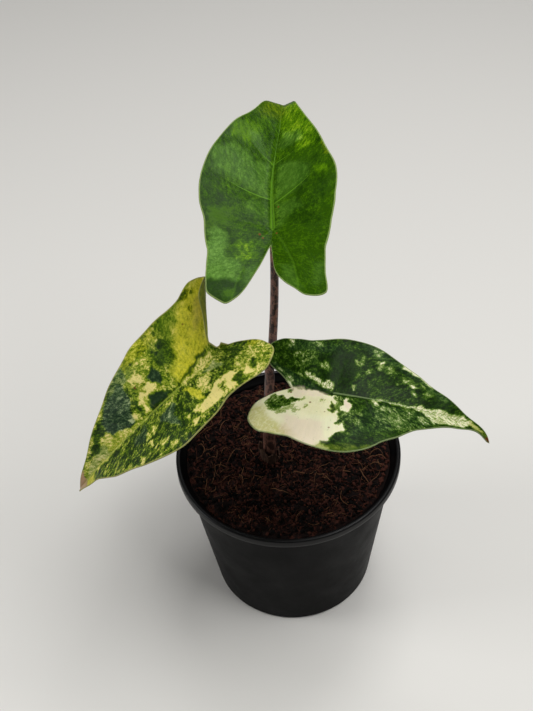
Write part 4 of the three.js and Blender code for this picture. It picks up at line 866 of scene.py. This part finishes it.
def bladeFields(leaf, s, t):
    # everything that the material reads, as fields over the flat leaf; the outlines of patches are nudged to and
    # fro by noise of 3.2 and 1.3 mm and fade over a little more than a millimetre, so that speckles break them up
    ragS = s + 1.0 * lattice(s, t, 3.2, 31) + 0.6 * lattice(s, t, 1.3, 32)
    ragT = t + 1.0 * lattice(s, t, 3.2, 33) + 0.6 * lattice(s, t, 1.3, 34)
    level, speckle = (np.full(s.shape, value) for value in leaf["tissue"])
    for name, soft, polygon in leaf["patches"]:
        share = smoothStep(signedDistance(ragS, ragT, polygon), -soft / 2 - 0.7, soft / 2 + 0.5)
        level = between(level, tissues[name][0], share)
        speckle = between(speckle, tissues[name][1], share)
    # yellow and pink are the leaf's own colour; the grey share is the mask of the painted sheen
    tints = {name: np.zeros(s.shape) for name in ("yellow", "grey", "pink")}
    for name, strength, soft, polygon in leaf["tints"]:
        share = strength * smoothStep(signedDistance(ragS, ragT, polygon), -soft / 2, soft / 2)
        tints[name] = np.maximum(tints[name], share)
    rust = np.full(s.shape, -3.0)
    for a, b, size in leaf["specks"]:
        rust = np.maximum(rust, (size - np.hypot(s - a, t - b)) / 0.6)
    return level, speckle * leaf["contrast"], tints, rust


def bladeRelief(leaf, s, t, share, index, toVein, rib, mid):
    # height of the upper face over the sheet: grooves exp(-(d / w)^2) on the veins, shoulders beside the midrib,
    # low swells sin^2 between the side veins, and a wave that grows with the fourth power of the share
    fade = smoothStep(share, 0.02, 0.15) * (1 - smoothStep(share, 0.55, 0.95)) * (0.25 + 0.75 * smoothStep(s, -12, 4))
    width = blade["grooveWidth"]
    grooves = blade["grooveDepth"] * leaf["groove"] * np.exp(-(mid / width) ** 2) * (1 - smoothStep(s, 55, 85))
    shoulders = blade["shoulder"] * leaf["groove"] * np.exp(-((mid - 2.0) / 1.0) ** 2) * (1 - smoothStep(s, 45, 75))
    laterals = leaf["lateralRelief"] * blade["lateralDepth"] * np.exp(-(toVein / blade["lateralWidth"]) ** 2) * fade
    ribs = blade["lobeGroove"] * leaf["groove"] * np.exp(-(rib / width) ** 2) * (1 - smoothStep(-s, 24, 36)) * (s < 0)
    swell = blade["bulge"] * np.sin(np.pi * (index - np.floor(index))) ** 2 * fade * smoothStep(mid, 0.5, 9)
    wave = blade["wave"] * share ** 4 * np.sin(0.33 * s + 0.8 * np.sin(0.21 * t) + 1.7 * np.sign(t))
    return swell + shoulders + wave - grooves - laterals - ribs


def marginRays(leaf):
    # angles that lie at even steps along the margin, to the left from the tip and on round, and the reach at each
    steps = 1800
    fine = np.linspace(0, 180, steps + 1)
    sides = [marginReach(distances, fine) for distances in leaf["margin"]]
    sides[1][-1] = sides[0][-1]
    angle = np.concatenate([fine, -fine[-2:0:-1]])
    reach = np.concatenate([sides[0], sides[1][-2:0:-1]])
    edge = np.stack([reach * np.cos(np.radians(angle)), reach * np.sin(np.radians(angle))], -1)
    run = np.concatenate([[0], np.cumsum(np.linalg.norm(np.diff(np.vstack([edge, edge[:1]]), axis=0), axis=1))])
    half = blade["rays"] // 2
    onLeft = np.interp(np.linspace(0, run[steps], half + 1), run[:steps + 1], fine)
    onRight = np.interp(np.linspace(run[steps], run[-1], half + 1)[1:-1], run[steps:],
                        np.concatenate([-fine[:0:-1], [0]]))
    rays = np.concatenate([onLeft, onRight])
    left, right = (marginReach(distances, np.abs(rays)) for distances in leaf["margin"])
    distance = np.where(rays >= 0, left, right)
    distance[half] = sides[0][-1]
    return rays, distance


def bladeDepth(s, share, toVein, rib, mid):
    # how thick the blade is: its own thickness, plus the deepest of the ribs exp(-(d / w)^2) under the veins
    lobeRib = np.exp(-(rib / blade["ribWidth"]) ** 2) * np.clip(1 + s / 42, 0, 1) * (s < 0)
    mainRib = np.exp(-(mid / blade["ribWidth"]) ** 2) * np.clip(1 - s / 85, 0, 1)
    sideRib = blade["sideRib"] * np.exp(-(toVein / blade["lateralWidth"]) ** 2)
    sideRib = sideRib * smoothStep(share, 0.05, 0.2) * (1 - smoothStep(share, 0.7, 0.95))
    depth = blade["thickness"] + blade["ribDepth"] * np.maximum(np.maximum(mainRib, 0.8 * lobeRib), sideRib)
    return np.where(share > 0.995, blade["thickness"], depth)


def makeBlade(name, leaf, material, node):
    # rays from the join at even steps along the margin, times shares of the reach; the upper face, a half-round
    # edge and the underside make one closed surface with a pole at each end
    rays, distance = marginRays(leaf)
    share = np.linspace(0, 1, blade["shares"] + 1)[1:, None] + 0 * rays
    s = share * distance * np.cos(np.radians(rays))
    t = share * distance * np.sin(np.radians(rays))
    t = np.where(np.abs(t) < 1e-9, 0, t)
    s, t, share = (np.concatenate([[0.0], grid.ravel()]) for grid in (s, t, share))
    level, speckle, tints, rust = bladeFields(leaf, s, t)
    index, spacing = lateralIndex(leaf, s, t)
    toVein = np.abs(index - np.round(index)) * spacing
    rib = ribDistance(leaf, s, t)
    mid = np.abs(t) + np.maximum(0, -s)
    nudge = 0.05
    alongS = leafSheet(leaf, s + nudge, t) - leafSheet(leaf, s - nudge, t)
    alongT = leafSheet(leaf, s, t + nudge) - leafSheet(leaf, s, t - nudge)
    normal = unit(np.cross(alongS, alongT))
    base = leafSheet(leaf, s, t)
    relief = bladeRelief(leaf, s, t, share, index, toVein, rib, mid)
    upper = base + normal * relief[:, None]
    lower = base + normal * (np.minimum(relief, relief * 0.6) - bladeDepth(s, share, toVein, rib, mid))[:, None]

    columns = blade["rays"]
    outer = np.arange(len(s) - columns, len(s))
    centre = (upper[outer] + lower[outer]) / 2
    outward = unit(np.cross(np.roll(centre, -1, 0) - np.roll(centre, 1, 0), normal[outer]))
    middle = np.linalg.norm(upper[outer] - lower[outer], axis=1, keepdims=True) / 2
    rim = [centre + middle * (math.sin(a) * normal[outer] + math.cos(a) * outward) for a in blade["edgeTurns"]]
    top, bottom = upper[1:].reshape(-1, columns, 3), lower[1:].reshape(-1, columns, 3)
    rows = np.concatenate([top, np.array(rim), bottom[::-1]])
    points = np.vstack([upper[:1], rows.reshape(-1, 3), lower[:1]])
    faces = fanFaces(0, 1, columns)
    faces += [quad[::-1] for quad in gridFaces(len(rows), columns, 1)]
    faces += fanFaces(len(points) - 1, 1 + (len(rows) - 1) * columns, columns, outward=False)

    # each point's place in the fields, and how far it is of the underside
    back = np.arange(1, len(s)).reshape(-1, columns)[::-1].ravel()
    order = np.concatenate([np.arange(len(s)), np.tile(outer, len(rim)), back, [0]])
    under = np.concatenate([np.zeros(len(s)), np.repeat(blade["edgeUnder"], columns), np.ones(len(s))])
    toMargin = (1 - share) * np.hypot(s, t) / np.maximum(share, 1e-6)
    taper = leaf["midWidth"] * np.clip(1 - s / leaf["midEnd"], 0.06, 1)
    seen = np.clip((1 - smoothStep(share, 0.3, 0.8)) * smoothStep(s, 2, 12), 0.02, 1)  # side veins thin out
    attributes = {  # the streaks run along the side veins, 15 to each, and differ on the two halves
        "tissue": np.stack([level, speckle, rust], -1)[order],
        # tints holds yellow, the painted sheen in its grey share, and pink
        "tints": np.stack([tints["yellow"], tints["grey"], tints["pink"]], -1)[order],
        "edges": np.stack([toMargin[order], under, index[order]], -1),
        "veins": np.stack([rib, mid / taper, spacing / seen], -1)[order],
        "streak": np.stack([index * 15, np.abs(t) * 0.85, np.sign(t) * 40], -1)[order],
    }
    flat = (np.stack([s, t], -1)[order] + flatEdge) / flatSize
    makePiece(name, points, faces, material, [node], flat=flat, fields=attributes)


def leafMaterial(name, leaf):
    # A waxy living leaf: satin gloss over tissue with more or less green in it, in ragged, speckled steps of tone,
    # with painted sheen: grey-green patches laid into the colour where the glossy leaf reflects a lamp
    material, tree = newMaterial(name)
    uv = addNode(tree, "UVMap", uv_map="flat")
    flat = addNode(tree, "Mapping", {"Vector": uv, "Location": (-flatEdge, -flatEdge, 0), "Scale": [flatSize] * 3})
    streak = addNode(tree, "Attribute", attribute_name="streak").outputs["Vector"]
    tissue, tints, edges, veins = (
        addNode(tree, "SeparateXYZ", (addNode(tree, "Attribute", attribute_name=label).outputs["Vector"],)).outputs
        for label in ("tissue", "tints", "edges", "veins"))
    broad = addNode(tree, "TexNoise", {"Vector": streak, "Scale": 0.22, "Detail": 2, "Roughness": 0.6})  # 4.5 mm
    ragged = addNode(tree, "TexNoise", {"Vector": streak, "Scale": 0.72, "Detail": 6, "Roughness": 0.78})  # 1.4 mm
    fine = addNode(tree, "TexNoise", {"Vector": flat, "Scale": 1.7, "Detail": 3, "Roughness": 0.7})  # 0.6 mm
    speckle = 0
    for noise, weight in ((broad, 1.4), (ragged, 4.4), (fine, 1.9)):
        part = addNode(tree, "Math", (noise, 0.5), operation="SUBTRACT")
        speckle = addNode(tree, "Math", (part, weight, speckle), operation="MULTIPLY_ADD")
    level = addNode(tree, "Math", (speckle, tissue[1], tissue[0]), operation="MULTIPLY_ADD")
    last = len(leaf["tones"]) - 1
    steps = [(0.02, leaf["tones"][0])]
    for number, (below, above) in enumerate(zip(leaf["tones"], leaf["tones"][1:])):
        edge = (number + 0.75) / (last + 0.5)
        steps += [(edge - 0.022, below), (edge + 0.022, above)]
    colour = addNode(tree, "ValToRGB", (level,), stops=steps)
    # the first family is the leaf's own yellow; the second is painted sheen, grey-green where the glossy leaf
    # reflects a lamp, broken up by the ragged noise
    for number, (key, thin) in enumerate((("yellowTones", 0.35), ("paintedSheenTones", 0.8))):
        tones = leaf[key]
        patchy = addNode(tree, "MapRange", (ragged, 0.36, 0.56, thin, 1.1))
        tint = addNode(tree, "Math", (tints[number], patchy), operation="MULTIPLY", use_clamp=True)
        family = addNode(tree, "ValToRGB", (level,), stops=[(0.15, tones[0]), (0.55, tones[1]), (0.95, tones[2])])
        colour = addNode(tree, "Mix", {0: tint, 6: colour, 7: family}, data_type="RGBA")
    colour = addNode(tree, "Mix", {0: tints[2], 6: colour, 7: leaf["pink"]}, data_type="RGBA")
    striped = addNode(tree, "Mapping", {"Vector": streak, "Scale": (1, 0.12, 1)})
    stripes = addNode(tree, "TexNoise", {"Vector": striped, "Scale": 1.1, "Detail": 3})  # fine veins 0.9 mm apart
    shade = addNode(tree, "MapRange", (stripes, 0.3, 0.7, 1 - leaf["stripes"], 1 + leaf["stripes"]))
    colour = addNode(tree, "Mix", {0: 1.0, 6: colour, 7: shade}, data_type="RGBA", blend_type="MULTIPLY")
    nearest = addNode(tree, "Math", (edges[2],), operation="ROUND")
    toVein = addNode(tree, "Math", (edges[2], nearest), operation="SUBTRACT")
    toVein = addNode(tree, "Math", (toVein,), operation="ABSOLUTE")
    toVein = addNode(tree, "Math", (toVein, veins[2]), operation="MULTIPLY")
    lateral = addNode(tree, "MapRange", (toVein, 0.5, 0.15, 0.0, leaf["veinStrength"]))
    toRib = addNode(tree, "Math", (veins[0],), operation="ABSOLUTE")
    rib = addNode(tree, "MapRange", (toRib, 0.6, 0.2, 0.0, 0.25 * leaf["veinStrength"]))
    mid = addNode(tree, "MapRange", (veins[1], 1.0, 0.6, 0.0, 0.75))
    middle = addNode(tree, "MapRange", (veins[1], 0.1, 0.4, 0.45, 1.0))  # darker along its middle
    mid = addNode(tree, "Math", (mid, middle), operation="MULTIPLY")
    lines = addNode(tree, "Math", (lateral, rib), operation="MAXIMUM")
    lines = addNode(tree, "Math", (lines, mid), operation="MAXIMUM")
    rust = addNode(tree, "MapRange", (tissue[2], -0.2, 0.4))
    margin = addNode(tree, "MapRange", (edges[0], 0.4, 0.15, 0.0, 0.75))
    for share, tone in ((lines, leaf["vein"]), (rust, blade["rust"]), (margin, leaf["marginLine"])):
        colour = addNode(tree, "Mix", {0: share, 6: colour, 7: tone}, data_type="RGBA")
    back = addNode(tree, "Mix", {0: 0.45, 6: colour, 7: blade["back"]}, data_type="RGBA")
    colour = addNode(tree, "Mix", {0: edges[1], 6: colour, 7: back}, data_type="RGBA")
    gloss = addNode(tree, "MapRange", (broad, 0.3, 0.7, 0.28, 0.4))
    cells = addNode(tree, "TexVoronoi", {"Vector": flat, "Scale": 1.1}, feature="SMOOTH_F1")
    height = addNode(tree, "Math", (fine, 0.6, cells), operation="MULTIPLY_ADD")
    height = addNode(tree, "Math", (stripes, 14 * leaf["stripes"], height), operation="MULTIPLY_ADD")
    bump = addNode(tree, "Bump", {"Height": height, "Strength": 0.22, "Distance": 0.0003})
    shader = addNode(tree, "BsdfPrincipled", {
        "Base Color": colour, "Roughness": gloss, "Normal": bump, "Specular IOR Level": leaf["shine"],
        "Subsurface Weight": 0.1, "Subsurface Radius": (0.4, 0.8, 0.2), "Subsurface Scale": 0.001})
    addNode(tree, "OutputMaterial", {"Surface": shader})
    return material


makeBlade("leafTop", leafTop, leafMaterial("waxyLeafGreen", leafTop), "blade_top")
makeBlade("leafLeft", leafLeft, leafMaterial("waxyLeafYellowMarbled", leafLeft), "blade_left")
makeBlade("leafRight", leafRight, leafMaterial("waxyLeafWhiteMarbled", leafRight), "blade_right")
print("blades made")


# Petioles: fleshy stalks, brown-pink with short dark tiger marks; the outer two sheathe the inner one low down

petiole = {
    "top": {"foot": 1.75, "end": 1.35, "swell": 0.28, "flare": 0.2, "handles": [(-0.6, -1, 55), (0.4, -1.5, -60)]},
    "left": {"foot": 1.55, "end": 1.3, "flare": 0.3, "inner": 1.85, "outer": 2.7, "arc": 112, "bearing": 205,
             "leave": 84, "close": 14, "start": (0.12, 0.34), "finish": (-0.3, -0.16)},
    "right": {"foot": 1.55, "end": 1.3, "flare": 0.3, "inner": 2.8, "outer": 3.7, "arc": 108, "bearing": -40,
              "leave": 34, "close": 10, "start": (0.2, 0.24), "finish": (-0.3, -0.16)},
    "columns": 48, "rows": 120, "sideRows": 81, "girth": 16, "sink": 0.9,
    "skin": "#5f3f35", "pale": "#8a6152", "mark": "#24120e",
}


def bundleCurve():
    # the bundle's middle: the ends and handles of one cubic curve from the coir to the top leaf
    top = np.array(leafTop["join"])
    foot = coir["plant"]
    low, high = petiole["top"]["handles"]
    return [foot, foot + low, top + high, top]


def bladeSeat(leaf):
    # where a petiole meets its blade: below the join by the sink, and the way the blade faces
    up = leafFrame(leaf, np.array([0.0]))[2][0]
    return np.array(leaf["join"]) - up * petiole["sink"], up


def sweepAngles(columns):
    # once round a stalk, the outer half from -1 to 1 and the inner half back, and the same as angles of a circle
    half = columns // 2
    run = np.linspace(-1, 1, half)
    sweep = np.concatenate([run, -run])
    outside = np.arange(columns) < half
    return sweep, outside, np.where(outside, 0.96 * sweep / 2, 1 - 0.96 * sweep / 2) * np.pi


def orientedRings(centres, directions, reference, radii, turn):
    # circles across a path: centre + r (cos a * across + sin a * over)
    over = unit(np.cross(directions, reference))
    across = np.cross(over, directions)
    return (centres[:, None] + radii[:, None, None] * (np.cos(turn)[:, None] * across[:, None]
                                                       + np.sin(turn)[:, None] * over[:, None]))


def tubeMap(rows, around):
    # own map: u once round as the girth and v along in mm, both over the map's span
    along = np.concatenate([[0], np.cumsum(np.linalg.norm(np.diff(rows.mean(1), axis=0), axis=1))])
    grid = np.stack([around / (2 * np.pi) * petiole["girth"] + 0 * along[:, None], along[:, None] + 0 * around], -1)
    flat = grid.reshape(-1, 2) / flatSize
    return np.vstack([flat, flat[:1], flat[-1:]])


def petioleMaterial():
    # Living stalk skin: satin, brown-pink, with dark tiger marks about 1 to 3 mm long that run across in rows
    material, tree = newMaterial("petioleSkinTiger")
    place = addNode(tree, "TexCoord").outputs["Object"]
    squashed = addNode(tree, "Mapping", {"Vector": place, "Scale": (1000, 1000, 520)})  # mm, marks half as tall again
    marks = addNode(tree, "TexNoise", {"Vector": squashed, "Scale": 0.5, "Detail": 3, "Roughness": 0.62})
    small = addNode(tree, "TexNoise", {"Vector": squashed, "Scale": 1.7, "Detail": 2})
    mixed = addNode(tree, "Math", (small, 0.35, marks), operation="MULTIPLY_ADD")
    tiger = addNode(tree, "MapRange", (mixed, 0.65, 0.71, 0.0, 0.92), interpolation_type="SMOOTHSTEP")
    tone = addNode(tree, "TexNoise", {"Vector": place, "Scale": 90, "Detail": 3})
    skin = addNode(tree, "ValToRGB", (tone,), stops=[(0.35, petiole["skin"]), (0.68, petiole["pale"])])
    colour = addNode(tree, "Mix", {0: tiger, 6: skin, 7: petiole["mark"]}, data_type="RGBA")
    drawn = addNode(tree, "Mapping", {"Vector": place, "Scale": (2600, 2600, 120)})  # lines 0.4 mm apart, 8 mm long
    lines = addNode(tree, "TexNoise", {"Vector": drawn, "Scale": 1, "Detail": 2})
    bump = addNode(tree, "Bump", {"Height": lines, "Strength": 0.25, "Distance": 0.0002})
    shader = addNode(tree, "BsdfPrincipled", {
        "Base Color": colour, "Roughness": 0.48, "Normal": bump, "IOR": 1.42,
        "Subsurface Weight": 0.08, "Subsurface Radius": (0.6, 0.3, 0.2), "Subsurface Scale": 0.001})
    addNode(tree, "OutputMaterial", {"Surface": shader})
    return material


def makeTopPetiole(material):
    # circles along the bundle's curve, which turn to face the blade at the end; the radius goes from foot to end
    # with t^2, swells above the wraps and flares into the blade
    spec = petiole["top"]
    curve = bundleCurve()
    t = np.linspace(0, 1, petiole["rows"])
    end, up = bladeSeat(leafTop)
    centres = bezier(curve, t * 0.99)
    centres[-1] = end
    near = np.clip((t - 0.94) / 0.06, 0, 1)[:, None]
    directions = unit(bezierSlope(curve, t) * (1 - near) + up * near)
    radii = between(spec["foot"], spec["end"], t * t)
    radii = radii * (1 + spec["swell"] * smoothStep(t, 0.47, 0.6)) * (1 + spec["flare"] * smoothStep(t, 0.97, 1))
    turn = circle(petiole["columns"])
    rows = orientedRings(centres, directions, np.array([1.0, 0, 0]), radii, turn)
    points, faces = closeTube(rows)
    makePiece("petioleTop", points, faces, material, ["petiole_top"], flat=tubeMap(rows, turn))


def makeSidePetiole(name, leaf, key, node, material):
    # low down a crescent round the bundle, (r cos a, r sin a) with r outer or inner, which closes to a round stalk
    # with the square of the height; above, circles on a cubic curve that bends outward and up
    spec = petiole[key]
    curve = bundleCurve()
    sweep, outside, stalkTurn = sweepAngles(petiole["columns"])
    bearing = math.radians(spec["bearing"])
    height = np.linspace(0, spec["leave"], int(spec["leave"]) + 1)
    topHeight = leafTop["join"][2] - coir["plant"][2]
    middle = bezier(curve, np.clip(height / topHeight, 0, 1))
    share = (np.clip((height - spec["leave"] + spec["close"]) / spec["close"], 0, 1) ** 2)[:, None]
    x = spec["inner"] + spec["foot"] + spec["foot"] * np.cos(stalkTurn)
    y = spec["foot"] * np.sin(stalkTurn)
    angle = math.radians(spec["arc"]) * sweep * (1 - share) + np.arctan2(y, x) * share + bearing
    reach = np.where(outside, spec["outer"], spec["inner"]) * (1 - share) + np.hypot(x, y) * share
    low = polar((middle[:, :1], middle[:, 1:2]), reach, angle, middle[:, 2:])
    end, up = bladeSeat(leaf)
    out = np.array([math.cos(bearing), math.sin(bearing), 0])
    start = middle[-1] + (spec["inner"] + spec["foot"]) * out
    gap = np.linalg.norm(end - start)
    outward = unit((end - start) * (1, 1, 0))
    bent = [place + outward * spec[handle][0] * gap + np.array([0, 0, spec[handle][1] * gap])
            for place, handle in ((start, "start"), (end, "finish"))]
    stalk = [start, *bent, end]
    t = np.linspace(0, 1, petiole["sideRows"])[1:]
    near = (np.clip((t - 0.8) / 0.2, 0, 1) * 0.999)[:, None]
    directions = unit(bezierSlope(stalk, t) * (1 - near) + up * near)
    radii = between(spec["foot"], spec["end"], t)
    radii = radii * (1 + spec["flare"] * smoothStep(t, 0.95, 1))
    high = orientedRings(bezier(stalk, t), directions, out, radii, stalkTurn)
    rows = np.concatenate([low, high])
    points, faces = closeTube(rows)
    makePiece(name, points, faces, material, [node], flat=tubeMap(rows, stalkTurn % (2 * np.pi)))


skinMaterial = petioleMaterial()
makeTopPetiole(skinMaterial)
makeSidePetiole("petioleLeft", leafLeft, "left", "petiole_left", skinMaterial)
makeSidePetiole("petioleRight", leafRight, "right", "petiole_right", skinMaterial)
print("petioles made")


# Dry sheath: the withered base of an old leaf, papery brown and torn. The corm under it is the CAD's own solid.

sheath = {
    "inner": 4.0, "wall": 0.55, "height": 9.5, "low": -1.5, "flare": 0.7, "highSide": 200, "columns": 120, "rows": 22,
    "dark": "#1a100b", "brown": "#463024", "pale": "#7a5c45",
}
corm = {"dark": "#150c08", "brown": "#301e14", "pale": "#574029"}


def sheathMaterial():
    # Dead leaf sheath: matt, fibrous along its height, brown with pale frayed lines
    material, tree = newMaterial("driedLeafSheath")
    place = addNode(tree, "TexCoord").outputs["Object"]
    drawn = addNode(tree, "Mapping", {"Vector": place, "Scale": (1500, 1500, 180)})  # 0.7 mm across, 5.5 mm long
    fibres = addNode(tree, "TexNoise", {"Vector": drawn, "Scale": 1, "Detail": 4, "Roughness": 0.7})
    stops = [(0.32, sheath["dark"]), (0.52, sheath["brown"]), (0.74, sheath["pale"])]
    colour = addNode(tree, "ValToRGB", (fibres,), stops=stops)
    bump = addNode(tree, "Bump", {"Height": fibres, "Strength": 0.6, "Distance": 0.0004})
    shader = addNode(tree, "BsdfPrincipled", {
        "Base Color": colour, "Roughness": 0.8, "Normal": bump, "Specular IOR Level": 0.3})
    addNode(tree, "OutputMaterial", {"Surface": shader})
    return material


def sheathRow(angle, share, thick):
    # a collar with a torn top: height scaled by cosines of the angle and noise, flaring with the square of the share
    ragged = (1 + 0.35 * np.cos(angle - math.radians(sheath["highSide"])) + 0.16 * np.sin(5 * angle + 0.6)
              + 0.12 * lattice(angle * 6, 0 * angle, 1, 21) + 0.06 * lattice(angle * 22, 0 * angle, 1, 22))
    z = coir["level"] + sheath["low"] + (sheath["height"] * ragged - sheath["low"]) * share
    crumple = 0.18 * lattice(angle * 5, share * 4, 1, 23) + 0.1 * lattice(angle * 14, share * 9, 1, 24)
    flare = sheath["inner"] + sheath["flare"] * share ** 2 + 0.15 * (1 + np.sin(5 * angle + 4 * share)) + crumple
    return polar(coir["plant"], flare + thick, angle, z)


def makeSheath(material):
    # the outer side upward and the inner side down again, closed at the foot
    columns = sheath["columns"]
    angle = circle(columns)[None] + 0 * np.linspace(0, 1, sheath["rows"])[:, None]
    up = np.linspace(0, 1, sheath["rows"])[:, None] + 0 * angle
    rows = np.concatenate([sheathRow(angle, up, sheath["wall"]), sheathRow(angle, up, 0.0)[::-1]])
    faces = gridFaces(len(rows), columns)
    last = (len(rows) - 1) * columns
    faces += [[last + j, last + (j + 1) % columns, (j + 1) % columns, j] for j in range(columns)]
    makePiece("drySheath", rows.reshape(-1, 3), faces, material, ["dry_sheath"])


def cormMaterial():
    # Corm skin: rough brown bark with pale root scars
    material, tree = newMaterial("cormBark")
    place = addNode(tree, "TexCoord").outputs["Object"]
    bark = addNode(tree, "TexNoise", {"Vector": place, "Scale": 380, "Detail": 6, "Roughness": 0.7})
    stops = [(0.35, corm["dark"]), (0.55, corm["brown"]), (0.75, corm["pale"])]
    colour = addNode(tree, "ValToRGB", (bark,), stops=stops)
    bump = addNode(tree, "Bump", {"Height": bark, "Strength": 0.7, "Distance": 0.0006})
    shader = addNode(tree, "BsdfPrincipled", {
        "Base Color": colour, "Roughness": 0.82, "Normal": bump, "Specular IOR Level": 0.3})
    addNode(tree, "OutputMaterial", {"Surface": shader})
    return material


makeSheath(sheathMaterial())
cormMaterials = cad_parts["corm"].data.materials
cormMaterials.clear()
cormMaterials.append(cormMaterial())
print("sheath and corm made")


# Stage: pale floor, soft lights and the camera

stage = {
    "floor": "#e4e2dd", "floorReach": 3.0, "floorLevel": -0.0005, "world": 0.12,
    "lights": [  # name, place and target in metres, width in metres and power in watts
        ("key", (0.4, -0.2, 1.2), (0, 0, 0.12), 0.7, 10.5),
        ("sheen", (0.16, 0.42, 1.12), (0, 0, 0.15), 0.4, 3.0),
        ("left", (-1.1, 0.0, 0.62), (0, 0, 0.12), 0.5, 4.6),
    ],
    "eye": (-0.0078635, -0.408867, 0.579868), "elevation": 45.3, "roll": -4.0, "lens": 60,
}


def makeStage():
    # a square floor just under the pot, square lights that face their targets, and an even, dim world
    mesh = bpy.data.meshes.new("floor")
    reach = stage["floorReach"]
    corners = [(x * reach, y * reach, stage["floorLevel"]) for x, y in ((-1, -1), (1, -1), (1, 1), (-1, 1))]
    mesh.from_pydata(corners, [], [(0, 1, 2, 3)])
    floor = bpy.data.objects.new("floor", mesh)
    scene.collection.objects.link(floor)
    material, tree = newMaterial("paleStudioFloor")
    shader = addNode(tree, "BsdfPrincipled", {"Base Color": stage["floor"], "Roughness": 0.9})
    addNode(tree, "OutputMaterial", {"Surface": shader})
    mesh.materials.append(material)
    for name, place, target, size, power in stage["lights"]:
        light = bpy.data.lights.new(name, "AREA")
        light.size = size
        light.energy = power
        lamp = bpy.data.objects.new(name, light)
        away = unit(np.array(place) - np.array(target))
        side = unit(np.cross([0, 0, 1.0], away) + (1e-6, 0, 0))
        lamp.matrix_world = placeMatrix(side, np.cross(away, side), away, place)
        scene.collection.objects.link(lamp)
    world = bpy.data.worlds.new("studio")
    world.use_nodes = True
    background = world.node_tree.nodes["Background"]
    background.inputs["Color"].default_value = (1, 1, 1, 1)
    background.inputs["Strength"].default_value = stage["world"]
    scene.world = world
    scene.view_settings.view_transform = "Standard"


def makeCamera():
    # looks down at the elevation e, along (0, cos e, -sin e), and is rolled about its line of sight
    data = bpy.data.cameras.new("camera")
    data.lens = stage["lens"]
    data.sensor_width = 36
    camera = bpy.data.objects.new("camera", data)
    e, roll = math.radians(stage["elevation"]), math.radians(stage["roll"])
    sight = np.array([0, math.cos(e), -math.sin(e)])
    level, upright = np.array([1.0, 0, 0]), np.array([0, math.sin(e), math.cos(e)])
    right = math.cos(roll) * level + math.sin(roll) * upright
    up = math.cos(roll) * upright - math.sin(roll) * level
    camera.matrix_world = placeMatrix(right, up, -sight, stage["eye"])
    scene.collection.objects.link(camera)
    scene.camera = camera


makeStage()
makeCamera()
print("stage set")
